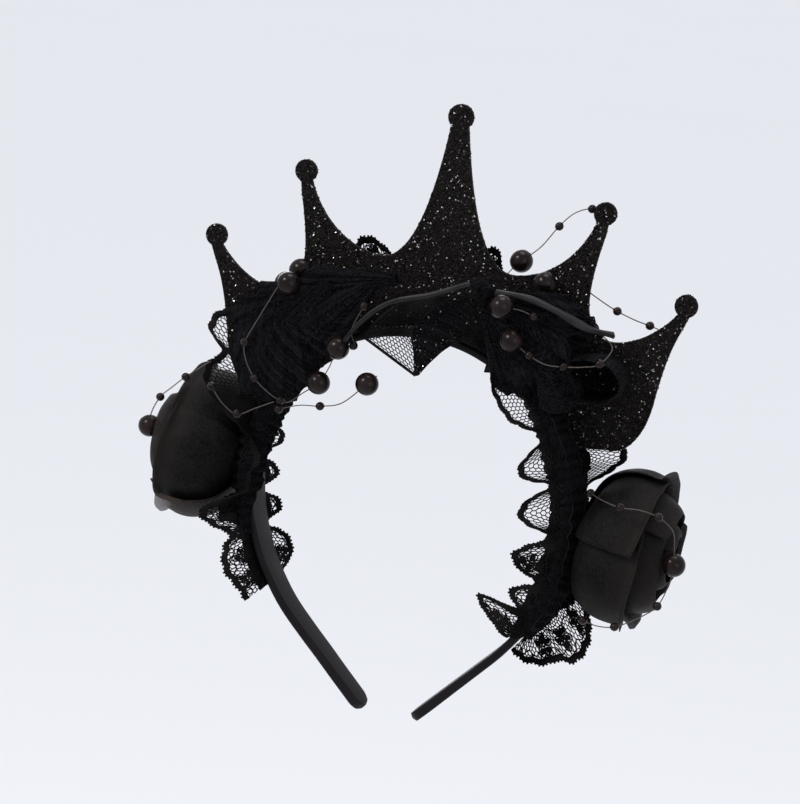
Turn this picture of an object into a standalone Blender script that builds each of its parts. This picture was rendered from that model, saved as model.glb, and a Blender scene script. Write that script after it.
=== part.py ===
"""Lace crown headband: a strap, a glitter crown, gathered lace, tulle, roses and bead strings.

Millimetres are used for every size and turned to metres when a mesh is made. +Z is up, -Y is
the front, and the origin is the middle of the strap's inner face at its highest point.
"""
import math

import bmesh
import bpy
from mathutils import Vector

MM = 0.001

# Strap sizes
band_half_width = 56.3
band_rise = 55.4
band_lower_radius = 75.1
band_lower_turn = 0.78
band_leg = 37.6
strap_width = 15.0
strap_tip_width = 10.0
strap_thick = 2.5
strap_tip_thick = 3.5
strap_chamfer = 0.7
strap_taper_start = 0.45
strap_taper_run = 0.5
piece_gap = 0.3

# Crown sizes
crown_half_span = 84.0
crown_height = 75.9
crown_shift = 4.7
crown_thick = 2.0
disc_radius = 3.9
centre_disc_radius = 4.4

# Cloth sizes
lace_width = 40.0
lace_thick = 1.0
lace_seam = 1.7
lace_pull = 0.35
net_rib = 0.55
tulle_thick = 1.2
tulle_reach = 46.0
ribbon_width = 3.0
ribbon_thick = 1.0
knot_radius = 4.2

# Rose sizes
rose_radius = 24.5
rose_height = 32.0
petal_thick = 1.0
petal_rim_dip = 0.10
bud_turns = 2.2

# Bead sizes
big_bead_radius = 4.0
small_bead_radius = 1.5
thread_radius = 0.4
bead_reach = 40.0

# Mesh steps
ARC_STEPS = 240
BEAD_SIDES = 10


def ellipse_table():
    """Angle and arc length down one side of the upper half of the strap."""
    angles = [0.0]
    lengths = [0.0]
    last = (0.0, 0.0)
    for i in range(1, ARC_STEPS + 1):
        u = math.pi / 2 * i / ARC_STEPS
        now = (band_half_width * math.sin(u), band_rise * (math.cos(u) - 1))
        lengths.append(lengths[-1] + math.dist(last, now))
        angles.append(u)
        last = now
    return angles, lengths


ARC_ANGLES, ARC_LENGTHS = ellipse_table()
upper_length = ARC_LENGTHS[-1]
lower_length = band_lower_radius * band_lower_turn
side_length = upper_length + lower_length + band_leg


def band_inner(s):
    """Point and outward normal of the strap's inner face, s millimetres down the right side."""
    centre = band_half_width - band_lower_radius
    if s <= upper_length:
        k = min(range(1, ARC_STEPS + 1), key=lambda i: ARC_LENGTHS[i] < max(s, 0.0))
        share = (s - ARC_LENGTHS[k - 1]) / (ARC_LENGTHS[k] - ARC_LENGTHS[k - 1])
        u = ARC_ANGLES[k - 1] + (ARC_ANGLES[k] - ARC_ANGLES[k - 1]) * share
        x = band_half_width * math.sin(u)
        z = band_rise * (math.cos(u) - 1)
        along = Vector((band_half_width * math.cos(u), 0, -band_rise * math.sin(u)))
    elif s <= upper_length + lower_length:
        u = (s - upper_length) / band_lower_radius
        x = centre + band_lower_radius * math.cos(u)
        z = -band_rise - band_lower_radius * math.sin(u)
        along = Vector((-math.sin(u), 0, -math.cos(u)))
    else:
        u = band_lower_turn
        rest = s - upper_length - lower_length
        x = centre + band_lower_radius * math.cos(u) - math.sin(u) * rest
        z = -band_rise - band_lower_radius * math.sin(u) - math.cos(u) * rest
        along = Vector((-math.sin(u), 0, -math.cos(u)))
    along.normalize()
    return Vector((x, 0, z)), Vector((-along.z, 0, along.x)), along


def band_place(share, out, y):
    """A point at a share of a side (left negative), out from the inner face, at depth y."""
    point, normal, _ = band_inner(abs(share) * side_length)
    spot = point + normal * out
    side = -1 if share < 0 else 1
    return Vector((side * spot.x, y, spot.z))


def smooth(rows, t):
    """A smooth curve through the rows of a table, t counted in rows."""
    last = len(rows) - 1
    i = min(int(t), last - 1)
    f = t - i
    a = rows[max(i - 1, 0)]
    b = rows[i]
    c = rows[i + 1]
    d = rows[min(i + 2, last)]
    return [
        0.5 * (2 * q + (r - p) * f + (2 * p - 5 * q + 4 * r - w) * f * f
               + (3 * q - p - 3 * r + w) * f ** 3)
        for p, q, r, w in zip(a, b, c, d)
    ]


def material(name, colour, roughness, metallic=0.0):
    made = bpy.data.materials.new(name)
    made.use_nodes = True
    shader = made.node_tree.nodes["Principled BSDF"]
    shader.inputs["Base Color"].default_value = (*colour, 1.0)
    shader.inputs["Roughness"].default_value = roughness
    shader.inputs["Metallic"].default_value = metallic
    return made


def add_mesh(name, points, faces, look):
    """A named object from points in millimetres, its faces turned outward."""
    mesh = bpy.data.meshes.new(name)
    mesh.from_pydata([tuple(Vector(p) * MM) for p in points], [], faces)
    shape = bmesh.new()
    shape.from_mesh(mesh)
    bmesh.ops.recalc_face_normals(shape, faces=shape.faces)
    shape.to_mesh(mesh)
    shape.free()
    made = bpy.data.objects.new(name, mesh)
    bpy.context.scene.collection.objects.link(made)
    made.data.materials.append(look)
    return made


def add_sheet(name, grid, thick, look, open_cell=None, rib=0.0):
    """A sheet of cloth through a grid of points, walled with thickness.

    open_cell(row, column) says which cells of the grid are cut through, leaving ribs round them.
    """
    rows = len(grid)
    columns = len(grid[0])
    points = [p for row in grid for p in row]
    cells = []
    opened = []
    for i in range(rows - 1):
        for j in range(columns - 1):
            if open_cell and open_cell(i, j):
                opened.append(len(cells))
            k = i * columns + j
            cells.append((k, k + 1, k + columns + 1, k + columns))
    made = add_mesh(name, points, cells, look)
    if opened:
        shape = bmesh.new()
        shape.from_mesh(made.data)
        shape.faces.ensure_lookup_table()
        chosen = [shape.faces[i] for i in opened]
        bmesh.ops.inset_individual(shape, faces=chosen, thickness=rib * MM)
        bmesh.ops.delete(shape, geom=chosen, context="FACES")
        shape.to_mesh(made.data)
        shape.free()
    wall = made.modifiers.new("wall", "SOLIDIFY")
    wall.thickness = thick * MM
    wall.offset = 0.0
    wall.use_even_offset = False
    return made


for old in list(bpy.data.objects):
    bpy.data.objects.remove(old, do_unlink=True)

satin = material("black satin", (0.012, 0.011, 0.013), 0.55)
glitter = material("black glitter", (0.030, 0.029, 0.030), 0.45, 0.2)
lace_look = material("black lace", (0.010, 0.009, 0.010), 0.8)
tulle_look = material("black tulle", (0.016, 0.016, 0.018), 0.7)
petal_look = material("black organza", (0.030, 0.031, 0.030), 0.6)
ribbon_look = material("black ribbon", (0.024, 0.024, 0.026), 0.5)
bead_look = material("black bead", (0.020, 0.014, 0.013), 0.18)


# Headband
def strap_taper(s):
    return min(1.0, max(0.0, (s / side_length - strap_taper_start) / strap_taper_run))


def strap_half_width(s):
    half = (strap_width + (strap_tip_width - strap_width) * strap_taper(s)) / 2
    round_start = side_length - strap_tip_width / 2
    if s > round_start:
        into = min(1.0, (s - round_start) / (strap_tip_width / 2))
        half *= max(0.35, math.sqrt(1 - into * into))
    return half


def strap_section(s, side):
    point, normal, _ = band_inner(s)
    half = strap_half_width(s)
    thick = strap_thick + (strap_tip_thick - strap_thick) * strap_taper(s) ** 2
    c = strap_chamfer
    ring = [(-half, c), (-half, thick - c), (c - half, thick),
            (half - c, thick), (half, thick - c), (half, c), (half - c, 0), (c - half, 0)]
    spots = []
    for y, out in ring:
        spot = point + normal * out
        spots.append((side * spot.x, y, spot.z))
    return spots


def build_headband():
    even = 14
    stations = [side_length * i / even for i in range(even)]
    stations += [side_length - strap_tip_width * k for k in (0.34, 0.15, 0.0)]
    rings = [strap_section(s, -1) for s in reversed(stations[1:])]
    rings += [strap_section(s, 1) for s in stations]
    points = [p for ring in rings for p in ring]
    n = 8
    faces = [tuple(range(n)), tuple(range((len(rings) - 1) * n, len(rings) * n))]
    for r in range(len(rings) - 1):
        for k in range(n):
            m = (k + 1) % n
            faces.append((r * n + k, r * n + m, (r + 1) * n + m, (r + 1) * n + k))
    return add_mesh("headband", points, faces, satin)


# Crown
# Curves of the right half as shares of the half span and the height: start, two pulls, end.
CROWN_CURVES = {
    "centre_to_inner": ((0.036, 0.962), (0.086, 0.553), (0.163, 0.343), (0.275, 0.331)),
    "inner_to_second": ((0.275, 0.331), (0.377, 0.331), (0.532, 0.408), (0.606, 0.628)),
    "second_to_outer": ((0.652, 0.606), (0.598, 0.369), (0.562, 0.112), (0.714, 0.101)),
    "outer_to_end": ((0.714, 0.101), (0.794, 0.101), (0.901, 0.165), (0.975, 0.277)),
    "end_side": ((1.018, 0.258), (0.960, 0.132), (0.940, 0.040), (0.917, -0.120)),
    "end_lobe": ((0.917, -0.120), (0.900, -0.290), (0.830, -0.400), (0.745, -0.385)),
}
CROWN_TIPS = {"second": (0.633, 0.664), "end": (1.0, 0.311)}
crown_seat_right = 0.345
crown_seat_left = 0.325


def bezier(name, steps):
    pulls = CROWN_CURVES[name]
    spots = []
    for i in range(1, steps):
        t = i / steps
        w = ((1 - t) ** 3, 3 * t * (1 - t) ** 2, 3 * t * t * (1 - t), t ** 3)
        spots.append(tuple(sum(a * p[k] for a, p in zip(w, pulls)) for k in (0, 1)))
    return [pulls[0]] + spots + [pulls[-1]]


def in_crown(spot):
    return (spot[0] * crown_half_span, spot[1] * crown_height)


def disc_arc(centre, radius, start, end, steps):
    """Points of the disc at a tip, the long way round from one neck point to the other."""
    a = math.atan2(start[1] - centre[1], start[0] - centre[0])
    b = math.atan2(end[1] - centre[1], end[0] - centre[0])
    while b > a:
        b -= 2 * math.pi
    ring = []
    for i in range(steps + 1):
        t = a + (b - a) * i / steps
        ring.append((centre[0] + radius * math.cos(t), centre[1] + radius * math.sin(t)))
    return ring


def crown_half():
    """Right half of the outline, from the centre disc's right neck to the end lobe."""
    line = [in_crown(p) for p in bezier("centre_to_inner", 6)]
    line += [in_crown(p) for p in bezier("inner_to_second", 6)][1:-1]
    neck = in_crown(CROWN_CURVES["inner_to_second"][-1])
    line += disc_arc(in_crown(CROWN_TIPS["second"]), disc_radius, neck,
                     in_crown(CROWN_CURVES["second_to_outer"][0]), 9)
    line += [in_crown(p) for p in bezier("second_to_outer", 6)][1:]
    line += [in_crown(p) for p in bezier("outer_to_end", 5)][1:-1]
    neck = in_crown(CROWN_CURVES["outer_to_end"][-1])
    line += disc_arc(in_crown(CROWN_TIPS["end"]), disc_radius, neck,
                     in_crown(CROWN_CURVES["end_side"][0]), 9)
    line += [in_crown(p) for p in bezier("end_side", 3)][1:]
    line += [in_crown(p) for p in bezier("end_lobe", 4)][1:]
    return line


def build_crown():
    half = crown_half()
    neck_x, neck_z = half[0]
    top = disc_arc((0.0, crown_height), centre_disc_radius, (-neck_x, neck_z), (neck_x, neck_z), 10)
    outline = top[:-1] + half
    seat_out = strap_thick + piece_gap
    seat_steps = 22
    seat = []
    for i in range(seat_steps + 1):
        share = crown_seat_right - (crown_seat_right + crown_seat_left) * i / seat_steps
        spot = band_place(share, seat_out, 0)
        seat.append((spot.x - crown_shift, spot.z))
    outline += seat
    outline += [(-x, z) for x, z in reversed(half[1:])]
    count = len(outline)
    half_thick = crown_thick / 2
    points = [(x + crown_shift, -half_thick, z) for x, z in outline]
    points += [(x + crown_shift, half_thick, z) for x, z in outline]
    faces = [tuple(range(count)), tuple(range(count, 2 * count))]
    for k in range(count):
        m = (k + 1) % count
        faces.append((k, m, m + count, k + count))
    return add_mesh("crown", points, faces, glitter)


# Gathered lace
# Columns: share of the side where the trim is sewn, share of the side at its rim, depth of the
# rim from the middle, distance of the rim out of the inner face (both shares of lace_width).
LACE_FRONT_LEFT = [
    (0.110, 0.110, -0.24, 0.22), (0.140, 0.135, -0.28, 0.34), (0.170, 0.175, -0.235, 0.26),
    (0.200, 0.195, -0.28, 0.48), (0.230, 0.235, -0.235, 0.36), (0.255, 0.255, -0.27, 0.66),
    (0.275, 0.278, -0.29, 0.80), (0.298, 0.302, -0.30, 0.78), (0.314, 0.316, -0.28, 0.56),
    (0.332, 0.332, -0.40, 0.58), (0.350, 0.352, -0.46, 0.52), (0.372, 0.376, -0.44, 0.30),
    (0.400, 0.404, -0.40, -0.06), (0.440, 0.445, -0.34, -0.18), (0.475, 0.475, -0.30, -0.10),
    (0.510, 0.510, -0.40, -0.10), (0.530, 0.530, -0.50, 0.18), (0.550, 0.550, -0.48, 0.32),
    (0.572, 0.575, -0.36, 0.26), (0.595, 0.595, -0.30, 0.14), (0.620, 0.618, -0.28, 0.24),
    (0.650, 0.652, -0.30, 0.28), (0.680, 0.686, -0.34, 0.20), (0.705, 0.712, -0.30, 0.20),
]
LACE_FRONT_RIGHT = [
    (0.070, 0.070, -0.24, 0.18), (0.100, 0.100, -0.27, 0.26), (0.130, 0.130, -0.24, 0.18),
    (0.150, 0.148, -0.32, 0.12), (0.168, 0.162, -0.50, 0.00), (0.190, 0.186, -0.56, -0.09),
    (0.222, 0.222, -0.58, -0.14), (0.252, 0.254, -0.56, -0.14), (0.276, 0.284, -0.50, -0.06),
    (0.302, 0.306, -0.36, 0.00), (0.322, 0.326, -0.46, -0.16), (0.348, 0.348, -0.52, -0.25),
    (0.374, 0.376, -0.46, -0.20), (0.398, 0.398, -0.31, -0.08), (0.418, 0.418, -0.42, -0.24),
    (0.446, 0.446, -0.46, -0.31), (0.472, 0.476, -0.42, -0.26), (0.496, 0.500, -0.30, -0.09),
    (0.520, 0.524, -0.40, -0.25), (0.548, 0.552, -0.42, -0.33), (0.572, 0.580, -0.38, -0.23),
    (0.590, 0.594, -0.28, -0.07), (0.610, 0.610, -0.36, -0.22), (0.632, 0.636, -0.36, -0.29),
    (0.654, 0.660, -0.32, -0.18), (0.672, 0.672, -0.42, -0.48), (0.690, 0.704, -0.34, -0.40),
    (0.706, 0.730, -0.24, -0.12),
]
LACE_BACK_LEFT = [
    (0.050, 0.050, 0.12, 0.50), (0.075, 0.075, 0.12, 0.72), (0.100, 0.097, 0.12, 0.79),
    (0.125, 0.122, 0.15, 0.58), (0.152, 0.152, 0.24, 0.30), (0.185, 0.185, 0.18, 0.46),
    (0.215, 0.218, 0.30, 0.14), (0.236, 0.234, 0.38, 0.01), (0.268, 0.270, 0.38, 0.00),
    (0.298, 0.300, 0.39, 0.03), (0.326, 0.326, 0.27, 0.10), (0.358, 0.358, 0.37, 0.03),
    (0.392, 0.392, 0.28, 0.08), (0.424, 0.424, 0.38, -0.10), (0.448, 0.446, 0.40, -0.12),
    (0.472, 0.474, 0.31, 0.02), (0.496, 0.495, 0.39, -0.08), (0.520, 0.518, 0.40, -0.09),
    (0.540, 0.540, 0.31, 0.04), (0.560, 0.560, 0.39, -0.08), (0.584, 0.584, 0.41, -0.10),
    (0.605, 0.605, 0.31, 0.04), (0.627, 0.626, 0.40, -0.06), (0.654, 0.654, 0.43, -0.11),
    (0.682, 0.682, 0.41, -0.06), (0.706, 0.704, 0.30, 0.08),
]
LACE_BACK_RIGHT = [
    (0.030, 0.030, 0.12, 0.52), (0.052, 0.050, 0.12, 0.66), (0.072, 0.070, 0.11, 0.82),
    (0.092, 0.094, 0.15, 0.52), (0.122, 0.122, 0.24, 0.30), (0.155, 0.155, 0.17, 0.50),
    (0.190, 0.190, 0.30, 0.20), (0.225, 0.225, 0.38, 0.04), (0.262, 0.262, 0.28, 0.20),
    (0.300, 0.300, 0.36, 0.06), (0.330, 0.330, 0.26, 0.24), (0.355, 0.357, 0.26, 0.34),
    (0.380, 0.384, 0.27, 0.44), (0.402, 0.406, 0.26, 0.26), (0.430, 0.430, 0.36, 0.02),
    (0.465, 0.465, 0.30, 0.05), (0.500, 0.500, 0.38, 0.00), (0.535, 0.535, 0.30, 0.05),
    (0.566, 0.566, 0.35, 0.05), (0.592, 0.590, 0.24, 0.12), (0.612, 0.612, 0.17, 0.24),
    (0.638, 0.640, 0.14, 0.40), (0.660, 0.672, 0.12, 0.50), (0.680, 0.704, 0.12, 0.50),
    (0.694, 0.722, 0.14, 0.38), (0.706, 0.742, 0.12, 0.32), (0.716, 0.764, 0.10, 0.16),
    (0.722, 0.766, 0.09, 0.02),
]
# Lobes of plain net, as runs of table rows whose cells are cut through.
NET_LOBES = {
    "lace_front_left": ((6, 8), (9, 11), (20, 22)),
    "lace_front_right": ((4, 8), (10, 12), (14, 16), (18, 20)),
    "lace_back_left": ((7, 9), (13, 14), (16, 17), (23, 24)),
    "lace_back_right": ((11, 13), (21, 23)),
}
lace_seat = strap_thick + piece_gap + lace_thick / 2


def lace_point(rows, side, t, w):
    """A point of the gathered trim: t counts table rows, w runs from the seam to the rim."""
    sewn, rim, depth, out = smooth(rows, t)
    facing = -1 if depth < 0 else 1
    edge_y = facing * (strap_width / 2 - 0.5)
    if w <= 0:
        seam_y = facing * lace_seam
        y = seam_y + (edge_y - seam_y) * (1 + w)
        return band_place(side * sewn, lace_seat, y)
    rim_y = depth * lace_width
    rim_out = strap_thick + out * lace_width
    reach = math.hypot(rim_y - edge_y, rim_out - lace_seat)
    pull_y = edge_y + facing * lace_pull * reach
    keep = (1 - w) ** 2
    pull = 2 * w * (1 - w)
    y = keep * edge_y + pull * pull_y + w * w * rim_y
    over = keep * lace_seat + pull * lace_seat + w * w * rim_out
    return band_place(side * (sewn + (rim - sewn) * w), over, y)


def build_lace(name, rows, side, flare_steps):
    per_row = 2
    columns = [-1.0, 0.0] + [(k + 1) / flare_steps for k in range(flare_steps)]
    grid = []
    for i in range((len(rows) - 1) * per_row + 1):
        grid.append([lace_point(rows, side, i / per_row, w) for w in columns])

    def opened(i, j):
        row = i / per_row
        return j >= 2 and any(a <= row < b for a, b in NET_LOBES[name])

    return add_sheet(name, grid, lace_thick, lace_look, opened, net_rib)


# Tulle
# Columns: turn in degrees about the gathered point, reach as a share of tulle_reach.
FAN_LEFT = [
    (-28, 0.50), (-55, 0.55), (-75, 0.70), (-92, 0.82), (-110, 0.90), (-128, 0.66), (-150, 0.52),
    (-168, 0.44),
]
FAN_RIGHT = [
    (0, 0.60), (-8, 0.84), (-17, 0.88), (-28, 0.68), (-46, 0.60), (-64, 0.52), (-84, 0.34),
]
fan_left_place = (-0.177, 24.0)
fan_right_place = (0.088, 25.5)
fan_left_depth = 13.9
fan_right_depth = 10.5
fan_bulge = 5.0
fan_pleat = 1.5


def build_fan(name, table, place, depth, pleats):
    apex = band_place(place[0], place[1], -depth)
    steps = 2 * pleats
    rings = (0.06, 0.3, 0.6, 0.85, 1.0)
    grid = []
    for i in range(steps + 1):
        turn, reach = smooth(table, (len(table) - 1) * i / steps)
        angle = math.radians(turn)
        fold = 1 if i % 2 else -1
        line = []
        for v in rings:
            span = reach * tulle_reach * v
            y = -depth - fan_bulge * math.sin(math.pi * min(1.0, v * 0.85)) - fan_pleat * fold * v
            line.append((apex.x + span * math.cos(angle), y, apex.z + span * math.sin(angle)))
        grid.append(line)
    return add_sheet(name, grid, tulle_thick, tulle_look)


roll_place = (0.266, 26.0)
roll_radii = (11.0, 7.6)
roll_front = -20.5
roll_back = -1.4


def build_roll():
    """An open loop of tulle lying on the crown's right side."""
    centre = band_place(roll_place[0], roll_place[1], 0)
    steps = 18
    grid = []
    for i in range(steps + 1):
        a = math.radians(200 - 330 * i / steps)
        line = []
        for y, grow in ((roll_back, 0.86), ((roll_back + roll_front) / 2, 1.08), (roll_front, 0.98)):
            line.append((centre.x + roll_radii[0] * grow * math.cos(a), y,
                         centre.z + roll_radii[1] * grow * math.sin(a)))
        grid.append(line)
    return add_sheet("tulle_roll", grid, tulle_thick, tulle_look)


# Net tail: left edge, fold line and right edge, each from the low end up.
# Columns: share of the side, distance out of the inner face, depth.
TAIL_LEFT = [
    (-0.088, 1.6, -16.6), (-0.066, 6.5, -17.0), (-0.040, 10.5, -17.2), (-0.010, 14.5, -17.2),
]
TAIL_FOLD = [
    (0.018, -10.6, -17.0), (0.012, -2.5, -18.6), (0.006, 6.0, -19.0), (0.060, 20.5, -19.4),
]
TAIL_RIGHT = [
    (0.025, -10.2, -17.0), (0.058, -1.0, -17.8), (0.089, 8.8, -18.0), (0.092, 22.4, -20.6),
]


def build_tail():
    across = 4
    up = 6
    grid = []
    for i in range(up + 1):
        t = 3 * i / up
        left = band_place(*smooth(TAIL_LEFT, t))
        fold = band_place(*smooth(TAIL_FOLD, t))
        right = band_place(*smooth(TAIL_RIGHT, t))
        line = [left.lerp(fold, k / across) for k in range(across + 1)]
        line += [fold.lerp(right, k / 2) for k in (1, 2)]
        grid.append(line)

    def opened(i, j):
        return j < across and i < up - 1

    return add_sheet("net_tail", grid, lace_thick, lace_look, opened, net_rib)


# Ribbon loops: share of the side, distance out of the inner face, depth.
RIBBON_LEFT = [
    (0.075, 27.0, -23.4), (0.030, 19.5, -25.5), (-0.030, 14.5, -25.5), (-0.075, 8.5, -25.0),
    (-0.112, 3.0, -24.0),
]
RIBBON_RIGHT = [
    (0.107, 27.3, -20.8), (0.145, 31.5, -20.4), (0.180, 34.0, -20.0), (0.216, 36.5, -18.0),
    (0.240, 40.5, -13.0),
]
knot_place = (0.090, 26.5, -22.0)


def build_ribbon(name, table):
    steps = 3 * (len(table) - 1)
    grid = []
    for i in range(steps + 1):
        share, out, y = smooth(table, (len(table) - 1) * i / steps)
        half = ribbon_width / 2
        low = band_place(share, out - half * 0.25, y - half)
        high = band_place(share, out + half * 0.25, y + half)
        grid.append([low, high])
    return add_sheet(name, grid, ribbon_thick, ribbon_look)


def build_knot():
    centre = band_place(*knot_place)
    mesh = bpy.data.meshes.new("knot")
    shape = bmesh.new()
    bmesh.ops.create_uvsphere(shape, u_segments=10, v_segments=7, radius=knot_radius * MM)
    for vert in shape.verts:
        turn = math.atan2(vert.co.z, vert.co.x)
        vert.co *= 0.86 + 0.14 * math.cos(3 * turn)
        vert.co.y *= 0.72
        vert.co += centre * MM
    shape.to_mesh(mesh)
    shape.free()
    made = bpy.data.objects.new("knot", mesh)
    bpy.context.scene.collection.objects.link(made)
    made.data.materials.append(tulle_look)
    return made


# Roses
# Columns: distance from the stem and height above the base, shares of radius and height.
CUP_OUTER = [
    (0.12, 0.100), (0.46, 0.120), (0.80, 0.220), (0.96, 0.400), (1.00, 0.580), (0.96, 0.740),
    (0.99, 0.840),
]
CUP_MIDDLE = [
    (0.10, 0.210), (0.34, 0.230), (0.62, 0.310), (0.78, 0.480), (0.80, 0.700), (0.70, 0.900),
    (0.60, 0.985),
]
CUP_INNER = [
    (0.08, 0.335), (0.22, 0.355), (0.42, 0.400), (0.52, 0.560), (0.50, 0.780), (0.38, 0.960),
    (0.30, 1.000),
]
# Columns: start of the petal in degrees, spread in degrees, height share, outward curl share.
PETALS_OUTER = [(15, 96, 1.00, 0.10), (87, 96, 0.95, 0.09), (159, 96, 0.99, 0.11),
                (231, 96, 0.94, 0.10), (303, 96, 0.97, 0.10)]
PETALS_MIDDLE = [(40, 142, 1.00, 0.0), (160, 142, 0.98, 0.0), (280, 142, 0.99, 0.0)]
PETALS_INNER = [(95, 215, 1.00, 0.0), (275, 215, 0.97, 0.0)]
# Columns: share of the side, depth, turn in degrees, lift off the lace, lean to the tips in degrees.
ROSES = {
    "rose_left": (-0.478, 4.5, 0.0, 0.5, -9.0),
    "rose_right": (0.496, 1.5, 24.0, 0.8, 5.0),
}
rose_seat = lace_seat + lace_thick / 2 + piece_gap
overlap_step = 2.9


def rose_frame(name):
    share, y, turn, lift, lean = ROSES[name]
    base = band_place(share, rose_seat + lift, y)
    axis = (band_place(share, rose_seat + lift + 1.0, y) - base).normalized()
    along = Vector((0, -1, 0)).cross(axis) * (1 if share < 0 else -1)
    axis = axis * math.cos(math.radians(lean)) + along * math.sin(math.radians(lean))
    side = Vector((0, -1, 0))
    up = axis.cross(side).normalized()
    return base, axis, side, up, turn


def rose_point(frame, turn, radius, height):
    base, axis, side, up, start = frame
    a = math.radians(turn + start)
    return base + axis * height + (side * math.cos(a) + up * math.sin(a)) * radius


def petal_grid(frame, cup, row, columns, rows):
    start, spread, tall, curl = row
    grid = []
    for i in range(columns + 1):
        f = i / columns
        rim = tall * (1 - petal_rim_dip * abs(2 * f - 1) ** 3)
        line = []
        for j in range(rows + 1):
            v = j / rows
            t = (len(cup) - 1) * v * rim
            here = smooth(cup, min(t, len(cup) - 1.001))
            there = smooth(cup, min(t + 0.02, len(cup) - 1))
            along = Vector(((there[0] - here[0]) * rose_radius, (there[1] - here[1]) * rose_height))
            along.normalize()
            step = overlap_step * f
            curled = curl * rose_radius * max(0.0, (v - 0.75) / 0.25) ** 2 * (0.3 + 0.7 * f)
            radius = here[0] * rose_radius + along.y * step + curled
            height = here[1] * rose_height - along.x * step
            line.append(rose_point(frame, start + spread * f, max(radius, 1.2), height))
        grid.append(line)
    return grid


def add_petal(name, grid):
    return add_sheet(name, grid, petal_thick, petal_look)


def build_rose(name):
    frame = rose_frame(name)
    for k, row in enumerate(PETALS_OUTER):
        add_petal(f"{name}_outer_{k + 1}", petal_grid(frame, CUP_OUTER, row, 5, 5))
    for k, row in enumerate(PETALS_MIDDLE):
        add_petal(f"{name}_middle_{k + 1}", petal_grid(frame, CUP_MIDDLE, row, 5, 3))
    for k, row in enumerate(PETALS_INNER):
        add_petal(f"{name}_inner_{k + 1}", petal_grid(frame, CUP_INNER, row, 6, 3))
    steps = 14
    grid = []
    for i in range(steps + 1):
        f = i / steps
        line = []
        for height, swell in ((0.40, 0.86), (0.64, 1.0), (0.92, 0.80)):
            radius = rose_radius * (0.045 + 0.25 * f) * swell
            line.append(rose_point(frame, 360 * bud_turns * f, radius, height * rose_height))
        grid.append(line)
    add_sheet(f"{name}_bud", grid, petal_thick * 0.8, petal_look)


# Bead strings, each row: share of the side, distance out and depth as shares of bead_reach,
# and the bead threaded there (0 none, 1 small, 2 big).
BEAD_STRINGS = {
    "beads_behind_crown": [
        (0.092, 0.66, 0.060, 0), (0.095, 0.75, 0.110, 0), (0.101, 0.853, 0.150, 2),
        (0.115, 1.055, 0.100, 0), (0.122, 1.295, 0.080, 1), (0.129, 1.465, 0.075, 0),
        (0.140, 1.573, 0.080, 1), (0.151, 1.578, 0.075, 0), (0.157, 1.493, 0.070, 0),
        (0.163, 1.223, 0.080, 1), (0.168, 1.085, 0.080, 0), (0.181, 0.998, 0.080, 1),
        (0.200, 1.008, 0.075, 0), (0.221, 1.050, 0.080, 1), (0.240, 1.123, 0.075, 0),
        (0.253, 1.195, 0.080, 1), (0.262, 1.250, 0.065, 0),
    ],
    "beads_crown_right": [
        (0.144, 0.870, -0.135, 2), (0.150, 0.760, -0.150, 0),
    ],
    "beads_upper_right": [
        (0.163, 0.700, -0.540, 1), (0.146, 0.680, -0.560, 0), (0.125, 0.637, -0.640, 2),
    ],
    "beads_middle_right": [
        (0.158, 0.415, -0.530, 2), (0.190, 0.423, -0.550, 1), (0.215, 0.473, -0.560, 0),
        (0.233, 0.580, -0.560, 1), (0.249, 0.738, -0.600, 0), (0.256, 0.860, -0.610, 1),
        (0.250, 0.960, -0.400, 0), (0.229, 0.880, -0.150, 1), (0.205, 0.840, -0.110, 0),
    ],
    "beads_upper_left": [
        (-0.196, 0.705, -0.134, 2), (-0.190, 0.790, -0.300, 0), (-0.174, 0.680, -0.465, 2),
    ],
    "beads_left": [
        (-0.184, 0.690, -0.560, 0), (-0.224, 0.553, -0.600, 0), (-0.263, 0.463, -0.600, 1),
        (-0.281, 0.348, -0.600, 0), (-0.292, 0.190, -0.600, 1), (-0.297, 0.030, -0.560, 0),
        (-0.297, -0.088, -0.500, 1), (-0.288, -0.153, -0.475, 0), (-0.251, -0.180, -0.475, 0),
        (-0.202, -0.190, -0.535, 2), (-0.165, -0.105, -0.510, 0), (-0.133, 0.018, -0.550, 2),
        (-0.103, 0.005, -0.540, 1), (-0.101, 0.138, -0.530, 0), (-0.074, 0.325, -0.520, 1),
    ],
    "beads_hanging_left": [
        (-0.3135, -0.125, -0.500, 1), (-0.277, -0.238, -0.460, 0), (-0.240, -0.358, -0.450, 1),
        (-0.183, -0.435, -0.450, 0), (-0.098, -0.343, -0.475, 2), (-0.070, -0.285, -0.475, 0),
    ],
    "beads_lower_left": [
        (-0.306, -0.058, -0.515, 0), (-0.335, 0.030, -0.570, 0), (-0.359, 0.132, -0.640, 1),
        (-0.352, 0.283, -0.700, 0), (-0.339, 0.423, -0.720, 1),
    ],
}
# The strings that lie over the roses, with the distance out as a share of rose_height and the
# depth as a share of rose_radius.
ROSE_STRINGS = {
    "beads_rose_left": [
        (-0.340, 1.000, -0.849, 0), (-0.360, 0.894, -0.849, 1), (-0.383, 1.004, -0.751, 0),
        (-0.406, 1.141, -0.555, 1), (-0.430, 1.225, -0.424, 0), (-0.449, 1.258, -0.278, 2),
    ],
    "beads_rose_right": [
        (0.412, 0.400, -0.686, 1), (0.418, 0.575, -0.931, 0), (0.425, 0.775, -1.045, 1),
        (0.428, 0.988, -1.061, 0), (0.437, 1.163, -0.980, 1), (0.454, 1.288, -0.816, 0),
        (0.477, 1.290, -0.640, 0), (0.498, 1.290, -0.520, 2), (0.519, 1.290, -0.575, 0),
        (0.546, 1.250, -0.751, 1), (0.566, 1.100, -0.914, 0), (0.585, 0.925, -0.980, 1),
        (0.597, 0.750, -0.914, 0), (0.604, 0.575, -0.784, 1),
    ],
}


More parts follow.
